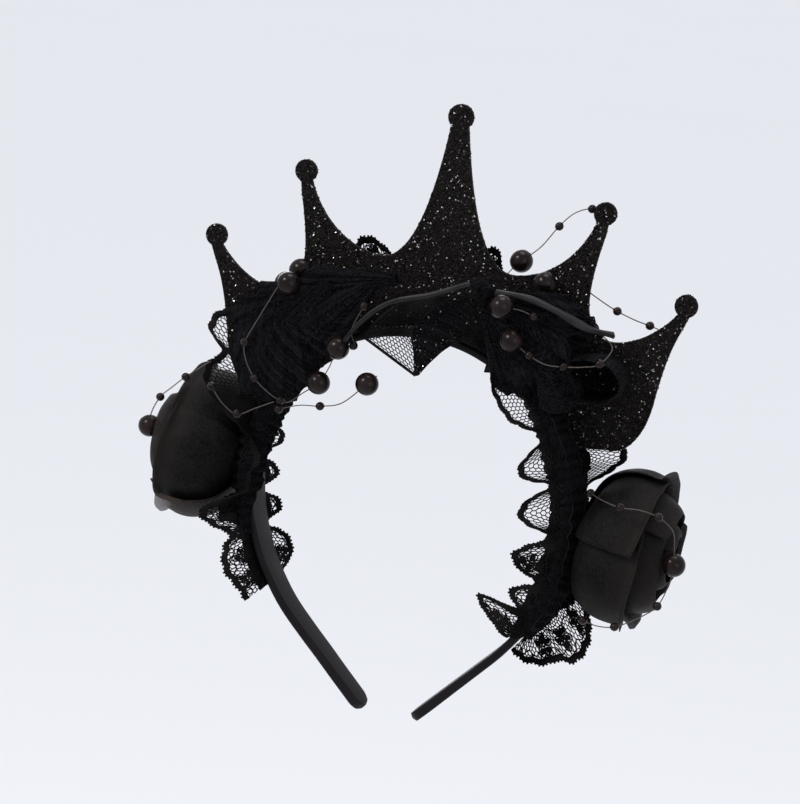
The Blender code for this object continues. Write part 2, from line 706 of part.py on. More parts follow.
def build_string(name, rows, out_reach, depth_reach):
    """One string: a thread through its points with the beads fused on."""
    spots = [band_place(share, out * out_reach, depth * depth_reach) for share, out, depth, _ in rows]
    curve = bpy.data.curves.new(name, "CURVE")
    curve.dimensions = "3D"
    path = curve.splines.new("POLY")
    path.points.add(len(spots) - 1)
    for point, spot in zip(path.points, spots):
        point.co = (*(spot * MM), 1.0)
    curve.bevel_depth = thread_radius * MM
    curve.bevel_resolution = 1
    curve.use_fill_caps = True
    wire = bpy.data.objects.new(f"{name}_wire", curve)
    bpy.context.scene.collection.objects.link(wire)
    ready = wire.evaluated_get(bpy.context.evaluated_depsgraph_get())
    tube = bpy.data.meshes.new_from_object(ready)
    bpy.data.objects.remove(wire, do_unlink=True)
    tube.materials.clear()
    tube.materials.append(bead_look)
    made = bpy.data.objects.new(name, tube)
    bpy.context.scene.collection.objects.link(made)
    count = 0
    for spot, row in zip(spots, rows):
        if not row[3]:
            continue
        count += 1
        radius = big_bead_radius if row[3] == 2 else small_bead_radius
        rings = 5 if row[3] == 2 else 4
        mesh = bpy.data.meshes.new(f"{name}_bead")
        shape = bmesh.new()
        bmesh.ops.create_uvsphere(shape, u_segments=BEAD_SIDES, v_segments=rings, radius=radius * MM)
        shape.to_mesh(mesh)
        shape.free()
        mesh.materials.append(bead_look)
        bead = bpy.data.objects.new(f"{name}_bead_{count}", mesh)
        bead.location = spot * MM
        bead.rotation_euler = (0.37, 0.23 * count, 0.11)
        bead.hide_render = True
        bead.display_type = "WIRE"
        bpy.context.scene.collection.objects.link(bead)
        fuse = made.modifiers.new(f"bead_{count}", "BOOLEAN")
        fuse.operation = "UNION"
        fuse.solver = "EXACT"
        fuse.object = bead
    return made


build_headband()
build_crown()
build_lace("lace_front_left", LACE_FRONT_LEFT, -1, 2)
build_lace("lace_front_right", LACE_FRONT_RIGHT, 1, 2)
build_lace("lace_back_left", LACE_BACK_LEFT, -1, 1)
build_lace("lace_back_right", LACE_BACK_RIGHT, 1, 1)
build_fan("tulle_fan_left", FAN_LEFT, fan_left_place, fan_left_depth, 7)
build_fan("tulle_fan_right", FAN_RIGHT, fan_right_place, fan_right_depth, 6)
build_roll()
build_tail()
build_ribbon("ribbon_left", RIBBON_LEFT)
build_ribbon("ribbon_right", RIBBON_RIGHT)
build_knot()
for rose in ROSES:
    build_rose(rose)
for string, route in BEAD_STRINGS.items():
    build_string(string, route, bead_reach, bead_reach)
for string, route in ROSE_STRINGS.items():
    build_string(string, route, rose_height, rose_radius)
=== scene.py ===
"""Looks of the lace crown headband: glitter crown, satin strap, hex net lace, tulle, roses, beads.

Millimetres are used for every size and turned to metres when a mesh is made. +Z is up, -Y is
the front, and the origin is the middle of the strap's inner face at its highest point.
"""

import math

import bpy
import numpy as np
from mathutils import Matrix, Vector


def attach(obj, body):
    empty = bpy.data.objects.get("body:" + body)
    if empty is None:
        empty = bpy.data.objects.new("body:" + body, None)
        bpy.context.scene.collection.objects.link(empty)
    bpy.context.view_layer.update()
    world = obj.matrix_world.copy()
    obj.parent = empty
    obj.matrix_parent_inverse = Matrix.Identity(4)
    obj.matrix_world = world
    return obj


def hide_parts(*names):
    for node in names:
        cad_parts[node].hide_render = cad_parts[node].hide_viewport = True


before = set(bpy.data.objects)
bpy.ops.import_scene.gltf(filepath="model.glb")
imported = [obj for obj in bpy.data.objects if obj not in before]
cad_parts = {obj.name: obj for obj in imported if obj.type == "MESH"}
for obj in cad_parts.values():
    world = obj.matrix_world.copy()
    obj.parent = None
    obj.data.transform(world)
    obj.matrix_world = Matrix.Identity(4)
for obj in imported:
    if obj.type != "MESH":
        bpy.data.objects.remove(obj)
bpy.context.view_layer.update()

MM = 0.001

# Strap sizes
band_half_width = 56.3
band_rise = 55.4
band_lower_radius = 75.1
band_lower_turn = 0.78
band_leg = 37.6
strap_width = 15.0
strap_tip_width = 10.0
strap_thick = 2.5
strap_tip_thick = 3.5
strap_taper_start = 0.45
strap_taper_run = 0.5
piece_gap = 0.3

# Crown sizes
crown_half_span = 84.0
crown_height = 75.9
crown_shift = 4.7
crown_thick = 1.8
disc_radius = 3.9
centre_disc_radius = 4.4

# Cloth sizes
lace_width = 40.0
lace_thick = 1.0
lace_seam = 1.7
lace_pull = 0.35
net_pitch = 1.5
net_thread = 0.42
floral_thread = 0.50
border_width = 1.3
tulle_thick = 0.25
tulle_reach = 46.0

# Rose sizes
rose_radius = 24.5
rose_height = 32.0
petal_thick = 0.35
petal_rim_dip = 0.10
overlap_step = 2.9
bud_turns = 2.2

# Bead sizes
big_bead_radius = 4.0
small_bead_radius = 1.5
thread_radius = 0.2
bead_reach = 40.0

ARC_STEPS = 240


# Strap line
def ellipse_table():
    """Angle and arc length down one side of the upper half of the strap."""
    angles = [0.0]
    lengths = [0.0]
    last = (0.0, 0.0)
    for i in range(1, ARC_STEPS + 1):
        u = math.pi / 2 * i / ARC_STEPS
        now = (band_half_width * math.sin(u), band_rise * (math.cos(u) - 1))
        lengths.append(lengths[-1] + math.dist(last, now))
        angles.append(u)
        last = now
    return angles, lengths


ARC_ANGLES, ARC_LENGTHS = ellipse_table()
upper_length = ARC_LENGTHS[-1]
lower_length = band_lower_radius * band_lower_turn
side_length = upper_length + lower_length + band_leg


def band_inner(s):
    """Point and outward normal of the strap's inner face, s millimetres down the right side."""
    centre = band_half_width - band_lower_radius
    if s <= upper_length:
        u = float(np.interp(s, ARC_LENGTHS, ARC_ANGLES))
        x = band_half_width * math.sin(u)
        z = band_rise * (math.cos(u) - 1)
        along = Vector((band_half_width * math.cos(u), 0, -band_rise * math.sin(u)))
    elif s <= upper_length + lower_length:
        u = (s - upper_length) / band_lower_radius
        x = centre + band_lower_radius * math.cos(u)
        z = -band_rise - band_lower_radius * math.sin(u)
        along = Vector((-math.sin(u), 0, -math.cos(u)))
    else:
        u = band_lower_turn
        rest = s - upper_length - lower_length
        x = centre + band_lower_radius * math.cos(u) - math.sin(u) * rest
        z = -band_rise - band_lower_radius * math.sin(u) - math.cos(u) * rest
        along = Vector((-math.sin(u), 0, -math.cos(u)))
    along.normalize()
    return Vector((x, 0, z)), Vector((-along.z, 0, along.x)), along


def band_place(share, out, y):
    """A point at a share of a side (left negative), out from the inner face, at depth y."""
    point, normal, _ = band_inner(abs(share) * side_length)
    spot = point + normal * out
    side = -1 if share < 0 else 1
    return Vector((side * spot.x, y, spot.z))


def smooth(rows, t):
    """A smooth curve through the rows of a table, t counted in rows."""
    last = len(rows) - 1
    i = max(0, min(int(t), last - 1))
    f = t - i
    a = rows[max(i - 1, 0)]
    b = rows[i]
    c = rows[i + 1]
    d = rows[min(i + 2, last)]
    return [
        0.5 * (2 * q + (r - p) * f + (2 * p - 5 * q + 4 * r - w) * f * f
               + (3 * q - p - 3 * r + w) * f ** 3)
        for p, q, r, w in zip(a, b, c, d)
    ]


# Materials
class Look:
    """A Principled material with its node tree at hand."""

    def __init__(self, name, colour, roughness, **values):
        self.made = bpy.data.materials.new(name)
        self.made.use_nodes = True
        self.nodes = self.made.node_tree.nodes
        self.links = self.made.node_tree.links
        self.shader = self.nodes["Principled BSDF"]
        self.shader.inputs["Base Color"].default_value = (*colour, 1.0)
        self.shader.inputs["Roughness"].default_value = roughness
        for key, value in values.items():
            self.shader.inputs[key.replace("_", " ")].default_value = value
        self.place = self.nodes.new("ShaderNodeTexCoord")

    def node(self, kind, **values):
        made = self.nodes.new(kind)
        for key, value in values.items():
            if hasattr(made, key):
                setattr(made, key, value)
            else:
                made.inputs[key.replace("_", " ")].default_value = value
        return made

    def noise(self, scale, detail=3.0, space="Object", **more):
        made = self.node("ShaderNodeTexNoise", Scale=scale, Detail=detail, **more)
        self.links.new(self.place.outputs[space], made.inputs["Vector"])
        return made

    def stretched(self, along, across, detail=2.0):
        """Noise drawn out along the cloth's second thread direction, which gives fine streaks."""
        turn = self.node("ShaderNodeMapping")
        turn.inputs["Scale"].default_value = (along, across, 1.0)
        self.links.new(self.place.outputs["UV"], turn.inputs["Vector"])
        made = self.node("ShaderNodeTexNoise", Scale=1.0, Detail=detail)
        self.links.new(turn.outputs["Vector"], made.inputs["Vector"])
        return made

    def cells(self, scale, space="Object", **more):
        made = self.node("ShaderNodeTexVoronoi", Scale=scale, **more)
        self.links.new(self.place.outputs[space], made.inputs["Vector"])
        return made

    def ramp(self, source, stops):
        made = self.nodes.new("ShaderNodeValToRGB")
        points = made.color_ramp.elements
        while len(points) < len(stops):
            points.new(0.5)
        for point, (at, colour) in zip(points, stops):
            point.position = at
            point.color = (*colour, 1.0) if hasattr(colour, "__len__") else (colour,) * 3 + (1.0,)
        self.links.new(source, made.inputs["Fac"])
        return made.outputs["Color"]

    def scale(self, source, low, high):
        made = self.node("ShaderNodeMapRange")
        made.inputs["To Min"].default_value = low
        made.inputs["To Max"].default_value = high
        self.links.new(source, made.inputs["Value"])
        return made.outputs["Result"]

    def bump(self, source, strength, distance, below=None):
        made = self.node("ShaderNodeBump", Strength=strength, Distance=distance)
        self.links.new(source, made.inputs["Height"])
        if below is not None:
            self.links.new(below, made.inputs["Normal"])
        return made.outputs["Normal"]

    def drive(self, key, source):
        self.links.new(source, self.shader.inputs[key])


def satin_look():
    look = Look("black satin", (0.006, 0.005, 0.006), 0.5, Specular_IOR_Level=0.10)
    fold = look.noise(60.0, 4.0)
    look.drive("Base Color", look.ramp(fold.outputs["Fac"], [(0.3, (0.0035, 0.003, 0.004)),
                                                              (0.75, (0.009, 0.007, 0.008))]))
    look.drive("Roughness", look.scale(fold.outputs["Fac"], 0.38, 0.62))
    weave = look.node("ShaderNodeTexWave", Scale=900.0, Distortion=0.6, Detail=1.0)
    look.links.new(look.place.outputs["UV"], weave.inputs["Vector"])
    low = look.bump(weave.outputs["Fac"], 0.25, 0.00012)
    look.drive("Normal", look.bump(fold.outputs["Fac"], 0.35, 0.0008, low))
    return look.made


def glitter_base_look():
    look = Look("glitter backing", (0.010, 0.009, 0.009), 0.65, Specular_IOR_Level=0.06)
    grain = look.cells(1500.0)
    look.drive("Base Color", look.ramp(grain.outputs["Distance"], [(0.1, (0.016, 0.013, 0.012)),
                                                                    (0.6, (0.003, 0.0025, 0.0025))]))
    look.drive("Normal", look.bump(grain.outputs["Distance"], 0.8, 0.0005))
    return look.made


def glitter_grain_and_painted_glint_look():
    look = Look("black glitter", (0.015, 0.013, 0.013), 0.32, Metallic=0.5, Specular_IOR_Level=0.12)
    island = look.node("ShaderNodeNewGeometry")
    # Colour per grain at random: most grains keep a near-black grain tone, and the lightest few, up to near
    # white, are painted glints.
    look.drive("Base Color", look.ramp(island.outputs["Random Per Island"], [
        (0.0, (0.0025, 0.002, 0.002)), (0.45, (0.007, 0.006, 0.0055)), (0.82, (0.028, 0.023, 0.020)),
        (0.94, (0.10, 0.09, 0.085)), (1.0, (0.80, 0.79, 0.80))]))
    look.drive("Roughness", look.scale(island.outputs["Random Per Island"], 0.45, 0.2))
    return look.made


def lace_look():
    look = Look("black lace", (0.006, 0.005, 0.005), 0.75, Specular_IOR_Level=0.05)
    twist = look.noise(2600.0, 2.0)
    tone = look.noise(90.0, 2.0)
    look.drive("Base Color", look.ramp(tone.outputs["Fac"], [(0.35, (0.0018, 0.0016, 0.0017)),
                                                              (0.70, (0.0105, 0.009, 0.009))]))
    look.drive("Normal", look.bump(twist.outputs["Fac"], 0.6, 0.0003))
    return look.made


def tulle_look(name, alpha_low, alpha_high, dark, light):
    """Fine net: threads of small cells, see-through between them, with streaks along the folds."""
    look = Look(name, dark, 0.75, Specular_IOR_Level=0.03)
    mesh = look.cells(1150.0, feature="DISTANCE_TO_EDGE")
    open_part = look.ramp(mesh.outputs["Distance"], [(0.10, 1.0), (0.22, 0.0)])
    look.drive("Alpha", look.scale(open_part, alpha_low, alpha_high))
    streak = look.stretched(1000.0, 22.0)
    look.drive("Base Color", look.ramp(streak.outputs["Fac"], [(0.42, dark), (0.72, light)]))
    low = look.bump(open_part, 0.3, 0.0002)
    look.drive("Normal", look.bump(streak.outputs["Fac"], 0.3, 0.0004, low))
    return look.made


def organza_look(name, dark, light, rim):
    """Petal cloth, thinner to the eye at the petal's rim, where only one layer lies; there its colour is
    also lightened and warmed, painted light shining through the single layer.
    """
    look = Look(name, dark, 0.6, Specular_IOR_Level=0.05)
    cloud = look.noise(75.0, 5.0)
    weave = look.noise(1300.0, 2.0)
    mottle = look.node("ShaderNodeMix", data_type="FLOAT")
    mottle.inputs["Factor"].default_value = 0.55
    look.links.new(cloud.outputs["Fac"], mottle.inputs["A"])
    look.links.new(weave.outputs["Fac"], mottle.inputs["B"])
    tone = look.ramp(mottle.outputs["Result"], [(0.36, dark), (0.64, light)])
    look.drive("Roughness", look.scale(cloud.outputs["Fac"], 0.46, 0.68))
    split = look.node("ShaderNodeSeparateXYZ")
    look.links.new(look.place.outputs["UV"], split.inputs["Vector"])
    # Rim mask: it makes the rim really see-through (alpha) and lighter in colour (painted light through the
    # cloth).
    edge = look.node("ShaderNodeMapRange")
    edge.inputs["From Min"].default_value = 0.030
    edge.inputs["From Max"].default_value = 0.046
    look.links.new(split.outputs["Y"], edge.inputs["Value"])
    look.drive("Alpha", look.scale(edge.outputs["Result"], 1.0, rim))
    # Toward the rim the colour turns to a lighter, warmer tone, which is painted light shining through the
    # single layer.
    tone_and_painted_rim_light = look.node("ShaderNodeMix", data_type="RGBA")
    look.links.new(edge.outputs["Result"], tone_and_painted_rim_light.inputs["Factor"])
    look.links.new(tone, tone_and_painted_rim_light.inputs["A"])
    tone_and_painted_rim_light.inputs["B"].default_value = (light[0] * 2.2, light[1] * 1.9, light[2] * 1.8, 1.0)
    look.drive("Base Color", tone_and_painted_rim_light.outputs["Result"])
    across = look.stretched(2600.0, 300.0)
    speck = look.noise(1900.0, 2.0)
    low = look.bump(across.outputs["Fac"], 0.25, 0.0002)
    mid = look.bump(speck.outputs["Fac"], 0.3, 0.0002, low)
    look.drive("Normal", look.bump(cloud.outputs["Fac"], 0.25, 0.0015, mid))
    return look.made


def ribbon_look():
    look = Look("black ribbon", (0.012, 0.012, 0.013), 0.5, Sheen_Weight=0.03, Sheen_Roughness=0.3,
                Specular_IOR_Level=0.12)
    tone = look.noise(160.0, 3.0)
    look.drive("Base Color", look.ramp(tone.outputs["Fac"], [(0.3, (0.009, 0.008, 0.009)),
                                                              (0.75, (0.026, 0.024, 0.025))]))
    fine = look.noise(2200.0, 2.0)
    look.drive("Normal", look.bump(fine.outputs["Fac"], 0.35, 0.0002))
    return look.made


def bead_look():
    look = Look("black bead", (0.012, 0.007, 0.007), 0.18, Coat_Weight=0.05, Coat_Roughness=0.08,
                Specular_IOR_Level=0.11)
    cloud = look.noise(230.0, 3.0)
    look.drive("Base Color", look.ramp(cloud.outputs["Fac"], [(0.35, (0.004, 0.0024, 0.0024)),
                                                               (0.7, (0.014, 0.0075, 0.007))]))
    look.drive("Roughness", look.scale(cloud.outputs["Fac"], 0.14, 0.32))
    look.drive("Normal", look.bump(cloud.outputs["Fac"], 0.12, 0.0006))
    return look.made


def thread_look():
    look = Look("bead thread", (0.030, 0.022, 0.018), 0.45)
    fine = look.noise(1800.0, 2.0)
    look.drive("Base Color", look.ramp(fine.outputs["Fac"], [(0.3, (0.018, 0.013, 0.010)),
                                                              (0.7, (0.055, 0.042, 0.034))]))
    look.drive("Normal", look.bump(fine.outputs["Fac"], 0.4, 0.0002))
    return look.made


SATIN = satin_look()
GLITTER_BASE = glitter_base_look()
# Glitter grains, the lightest few of them painted glints.
GLITTER_GRAIN_AND_PAINTED_GLINTS = glitter_grain_and_painted_glint_look()
LACE = lace_look()
TULLE = tulle_look("black tulle", 0.62, 1.0, (0.002, 0.002, 0.0025), (0.011, 0.011, 0.013))
TULLE_DENSE = tulle_look("gathered tulle", 0.90, 1.0, (0.0016, 0.0016, 0.002), (0.006, 0.006, 0.007))
ORGANZA = organza_look("black organza", (0.0006, 0.0006, 0.0007), (0.0088, 0.0082, 0.0080), 0.84)
# Organza for two outer petals: more see-through at the rim, with a lighter taupe colour that is painted
# light shining through from behind.
ORGANZA_SHEER_PAINTED_BACKLIGHT = organza_look("thin organza", (0.006, 0.0055, 0.005), (0.032, 0.026, 0.0235), 0.32)
RIBBON = ribbon_look()
BEAD = bead_look()
THREAD = thread_look()


# Mesh building
class Shape:
    """Points, faces and the look of each face, gathered into one piece."""

    def __init__(self):
        self.points = []
        self.faces = []
        self.looks = []

    def add(self, points, faces, look=0):
        start = len(self.points)
        self.points += [tuple(p) for p in points]
        self.faces += [tuple(start + k for k in face) for face in faces]
        self.looks += [look] * len(faces)

    def tube(self, line, radius, sides=6, look=0):
        """A round thread along a line, closed at its ends."""
        line = [Vector(p) for p in line]
        count = len(line)
        normal = None
        points = []
        for i, spot in enumerate(line):
            along = (line[min(i + 1, count - 1)] - line[max(i - 1, 0)]).normalized()
            if normal is None:
                normal = along.orthogonal().normalized()
            else:
                normal = (normal - along * normal.dot(along)).normalized()
            cross = along.cross(normal)
            wide = radius[i] if hasattr(radius, "__len__") else radius
            for k in range(sides):
                a = 2 * math.pi * k / sides
                points.append(spot + (normal * math.cos(a) + cross * math.sin(a)) * wide)
        faces = [tuple(reversed(range(sides))), tuple(range((count - 1) * sides, count * sides))]
        for i in range(count - 1):
            for k in range(sides):
                m = (k + 1) % sides
                faces.append((i * sides + k, i * sides + m, (i + 1) * sides + m, (i + 1) * sides + k))
        self.add(points, faces, look)

    def loop(self, line, radius, sides=5, look=0):
        """A round thread along a closed line."""
        line = [Vector(p) for p in line]
        count = len(line)
        normal = None
        rings = []
        for i in range(count):
            along = (line[(i + 1) % count] - line[i - 1]).normalized()
            if normal is None:
                normal = along.orthogonal().normalized()
            else:
                normal = (normal - along * normal.dot(along)).normalized()
            cross = along.cross(normal)
            rings.append([line[i] + (normal * math.cos(a) + cross * math.sin(a)) * radius
                          for a in (2 * math.pi * k / sides for k in range(sides))])
        points = [p for ring in rings for p in ring]
        shift = min(range(sides), key=lambda k: (rings[-1][0] - rings[0][k]).length)
        faces = []
        for i in range(count):
            j = (i + 1) % count
            turn = shift if j == 0 else 0
            for k in range(sides):
                m = (k + 1) % sides
                faces.append((i * sides + k, i * sides + m, j * sides + (m + turn) % sides,
                              j * sides + (k + turn) % sides))
        self.add(points, faces, look)

    def pad(self, line, thick, look=0):
        """A closed lens of worked thread that fills the line."""
        count = len(line)
        middle = sum((Vector(p) for p in line), Vector()) / count
        normal = (Vector(line[0]) - middle).cross(Vector(line[count // 4]) - middle)
        if normal.length < 1e-6:
            return
        normal.normalize()
        points = list(line) + [middle + normal * thick, middle - normal * thick]
        faces = []
        for k in range(count):
            m = (k + 1) % count
            faces += [(k, m, count), (m, k, count + 1)]
        self.add(points, faces, look)

    def ball(self, centre, radius, sides=20, rings=12, look=0, axis=(0, 0, 1)):
        turn = Vector(axis).to_track_quat("Z", "Y").to_matrix()
        centre = Vector(centre)
        points = [centre + turn @ Vector((0, 0, radius))]
        for j in range(1, rings):
            b = math.pi * j / rings
            for k in range(sides):
                a = 2 * math.pi * k / sides
                spot = Vector((math.sin(b) * math.cos(a), math.sin(b) * math.sin(a), math.cos(b)))
                points.append(centre + turn @ spot * radius)
        points.append(centre - turn @ Vector((0, 0, radius)))
        last = len(points) - 1
        faces = []
        for k in range(sides):
            m = (k + 1) % sides
            faces.append((0, 1 + k, 1 + m))
            faces.append((last, last - sides + m, last - sides + k))
            for j in range(rings - 2):
                a = 1 + j * sides
                faces.append((a + k, a + sides + k, a + sides + m, a + m))
        self.add(points, faces, look)

    def piece(self, name, looks, soft=True):
        mesh = bpy.data.meshes.new(name)
        mesh.from_pydata((np.array(self.points, dtype=float) * MM).tolist(), [], self.faces)
        for look in looks:
            mesh.materials.append(look)
        mesh.polygons.foreach_set("material_index", self.looks)
        if soft:
            mesh.polygons.foreach_set("use_smooth", [True] * len(mesh.polygons))
        mesh.update()
        made = bpy.data.objects.new(name, mesh)
        bpy.context.scene.collection.objects.link(made)
        return made


def evaluated(made):
    """The points and faces of an object with its modifiers, which is then removed."""
    ready = made.evaluated_get(bpy.context.evaluated_depsgraph_get())
    mesh = bpy.data.meshes.new_from_object(ready)
    points = np.empty(len(mesh.vertices) * 3)
    mesh.vertices.foreach_get("co", points)
    faces = [tuple(p.vertices) for p in mesh.polygons]
    bpy.data.objects.remove(made, do_unlink=True)
    bpy.data.meshes.remove(mesh)
    return (points.reshape(-1, 3) / MM).tolist(), faces


def dress(piece, nodes=()):
    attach(piece, "root")
    if nodes:
        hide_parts(*nodes)
    return piece


def cloth(name, grid, look, thick, closed_rows=False):
    """A sheet through a grid of points, with UVs in millimetres along its own threads."""
    spots = np.array([[tuple(p) for p in row] for row in grid])
    rows, columns = spots.shape[:2]
    down = np.concatenate([np.zeros((1, columns)),
                           np.cumsum(np.linalg.norm(np.diff(spots, axis=0), axis=2), axis=0)])
    across = np.concatenate([np.zeros((rows, 1)),
                             np.cumsum(np.linalg.norm(np.diff(spots, axis=1), axis=2), axis=1)], axis=1)
    shape = Shape()
    faces = [(i * columns + j, i * columns + j + 1, (i + 1) * columns + j + 1, (i + 1) * columns + j)
             for i in range(rows - 1) for j in range(columns - 1)]
    shape.add(spots.reshape(-1, 3), faces)
    made = shape.piece(name, [look])
    layer = made.data.uv_layers.new(name="threads")
    flat = np.stack([down.reshape(-1), across.reshape(-1)], axis=1) * MM
    corners = np.empty(len(made.data.loops), dtype=int)
    made.data.loops.foreach_get("vertex_index", corners)
    layer.data.foreach_set("uv", flat[corners].reshape(-1))
    wall = made.modifiers.new("wall", "SOLIDIFY")
    wall.thickness = thick * MM
    wall.offset = 0.0
    wall.use_even_offset = False
    width = float(across[:, -1].max()) * MM
    length = float(down[-1].max()) * MM
    a = spots[:-1, :-1]
    b = spots[1:, 1:]
    c = spots[:-1, 1:]
    d = spots[1:, :-1]
    area = float(np.linalg.norm(np.cross(b - a, d - c), axis=2).sum() / 2) * MM * MM
    return made, (width, length), area


def ripple(seed, count, low, high):
    """A smooth random wave, as a function of one number."""
    draw = np.random.RandomState(seed)
    parts = [(draw.uniform(low, high), draw.uniform(0, 2 * math.pi), draw.uniform(0.5, 1.0))
             for _ in range(count)]
    whole = sum(p[2] for p in parts)
    return lambda t: sum(size * math.sin(rate * t + start) for rate, start, size in parts) / whole


# Camera, lights and floor
camera_yaw = math.radians(17.0)
camera_rise = math.radians(12.9)
camera_roll = math.radians(5.6)
camera_far = 1.0
camera_target = Vector((-0.007, 0.0, -0.0247))
picture_height = 804
metres_per_pixel = 0.000345
sensor = 36.0


def build_camera():
    back = Vector((math.sin(camera_yaw) * math.cos(camera_rise),
                   -math.cos(camera_yaw) * math.cos(camera_rise), math.sin(camera_rise)))
    right = Vector((math.cos(camera_yaw), math.sin(camera_yaw), 0))
    up = back.cross(right)
    row_x = right * math.cos(camera_roll) + up * math.sin(camera_roll)
    row_y = -right * math.sin(camera_roll) + up * math.cos(camera_roll)
    data = bpy.data.cameras.new("camera")
    data.sensor_fit = "VERTICAL"
    data.sensor_height = sensor
    data.lens = sensor * camera_far / (metres_per_pixel * picture_height)
    data.clip_end = 150.0
    made = bpy.data.objects.new("camera", data)
    made.matrix_world = Matrix((row_x, row_y, back)).transposed().to_4x4()
    made.location = camera_target + back * camera_far
    bpy.context.scene.collection.objects.link(made)
    bpy.context.scene.camera = made


# Columns: name, place, size of the lamp, watts, colour.
LAMPS = [
    ("key", (-0.75, -0.85, 0.95), 0.5, 13.0, (1.0, 0.98, 0.96)),
    ("fill", (1.05, -0.95, 0.35), 0.9, 2.6, (0.97, 0.98, 1.0)),
    ("top", (0.05, 0.15, 1.25), 0.7, 7.0, (1.0, 0.99, 0.98)),
    ("back", (-0.6, 1.0, 0.25), 0.8, 4.0, (0.97, 0.98, 1.0)),
]
floor_z = -1.0
floor_half = 60.0
world_strength = 0.89


def build_studio():
    aim = Vector((0.0, 0.0, -0.02))
    for name, place, size, watts, colour in LAMPS:
        data = bpy.data.lights.new(name, "AREA")
        data.shape = "DISK"
        data.size = size
        data.energy = watts
        data.color = colour
        lamp = bpy.data.objects.new(name, data)
        lamp.location = place
        lamp.rotation_euler = (aim - Vector(place)).to_track_quat("-Z", "Y").to_euler()
        bpy.context.scene.collection.objects.link(lamp)
    world = bpy.data.worlds.new("studio")
    world.use_nodes = True
    air = world.node_tree.nodes["Background"]
    air.inputs["Color"].default_value = (0.93, 0.945, 1.0, 1.0)
    air.inputs["Strength"].default_value = world_strength
    bpy.context.scene.world = world
    look = Look("pale floor", (0.95, 0.955, 0.965), 0.9, Specular_IOR_Level=0.1)
    tone = look.noise(0.8, 2.0)
    look.drive("Base Color", look.ramp(tone.outputs["Fac"], [(0.2, (0.945, 0.95, 0.96)),
                                                              (0.8, (0.955, 0.96, 0.97))]))
    shape = Shape()
    half = floor_half / MM
    shape.add([(-half, -half, 0), (half, -half, 0), (half, half, 0), (-half, half, 0)], [(0, 1, 2, 3)])
    floor = shape.piece("floor", [look.made], soft=False)
    floor.location.z = floor_z
    bpy.context.scene.view_settings.view_transform = "Standard"


# Headband
def strap_taper(s):
    return min(1.0, max(0.0, (s / side_length - strap_taper_start) / strap_taper_run))


def strap_half_width(s):
    half = (strap_width + (strap_tip_width - strap_width) * strap_taper(s)) / 2
    round_start = side_length - strap_tip_width / 2
    if s > round_start:
        into = min(1.0, (s - round_start) / (strap_tip_width / 2))
        half *= max(0.3, math.sqrt(1 - into * into))
    return half


def strap_ring(s, side, waver):
    """One rounded section of the strap, with the slight waver of a covered band."""
    point, normal, _ = band_inner(s)
    half = strap_half_width(s)
    end = max(0.0, (s - side_length + 1.2) / 1.2)
    thick = strap_thick + (strap_tip_thick - strap_thick) * strap_taper(s) ** 2
    thin = thick * (1 - 0.55 * end * end)
    lift = (thick - thin) / 2
    corner = min(0.85, thin * 0.4)
    centres = [(half - corner, thin - corner, 0), (corner - half, thin - corner, 90),
               (corner - half, corner, 180), (half - corner, corner, 270)]
    ring = []
    for y, out, start in centres:
        for k in range(5):
            a = math.radians(start + 22.5 * k)
            crown_y = y + corner * math.cos(a) + waver(s + 40 * side) * 0.18
            crown_out = lift + out + corner * math.sin(a)
            spot = point + normal * crown_out
            ring.append((side * spot.x, crown_y, spot.z))
    return ring


def build_headband():
    stations = [side_length * i / 130 for i in range(130)]
    stations += [side_length - strap_tip_width / 2 * k for k in (0.9, 0.7, 0.5, 0.33, 0.2, 0.1, 0.03, 0.0)]
    stations = sorted(set(stations))
    waver = ripple(3, 4, 0.15, 0.6)
    rings = [strap_ring(s, -1, waver) for s in reversed(stations[1:])]
    rings += [strap_ring(s, 1, waver) for s in stations]
    count = len(rings[0])
    points = [p for ring in rings for p in ring]
    faces = [tuple(range(count)), tuple(reversed(range((len(rings) - 1) * count, len(rings) * count)))]
    for r in range(len(rings) - 1):
        for k in range(count):
            m = (k + 1) % count
            faces.append((r * count + k, (r + 1) * count + k, (r + 1) * count + m, r * count + m))
    shape = Shape()
    shape.add(points, faces)
    strap = shape.piece("strap", [SATIN])
    layer = strap.data.uv_layers.new(name="threads")
    flat = []
    for r in range(len(rings)):
        for k in range(count):
            flat.append((2 * side_length * r / len(rings) * MM, 40.0 * k / count * MM))
    corners = np.empty(len(strap.data.loops), dtype=int)
    strap.data.loops.foreach_get("vertex_index", corners)
    layer.data.foreach_set("uv", np.array(flat)[corners].reshape(-1))
    dress(strap, ["headband"])


# Crown
CROWN_CURVES = {
    "centre_to_inner": ((0.036, 0.962), (0.086, 0.553), (0.163, 0.343), (0.275, 0.331)),
    "inner_to_second": ((0.275, 0.331), (0.377, 0.331), (0.532, 0.408), (0.606, 0.628)),
    "second_to_outer": ((0.652, 0.606), (0.598, 0.369), (0.562, 0.112), (0.714, 0.101)),
    "outer_to_end": ((0.714, 0.101), (0.794, 0.101), (0.901, 0.165), (0.975, 0.277)),
    "end_side": ((1.018, 0.258), (0.960, 0.132), (0.940, 0.040), (0.917, -0.120)),
    "end_lobe": ((0.917, -0.120), (0.900, -0.290), (0.830, -0.400), (0.745, -0.385)),
}
CROWN_TIPS = {"second": (0.633, 0.664), "end": (1.0, 0.311)}
crown_seat_right = 0.345
crown_seat_left = 0.325
grain_radius = 0.46
grains_per_side = 11500
grains_on_edge = 2600


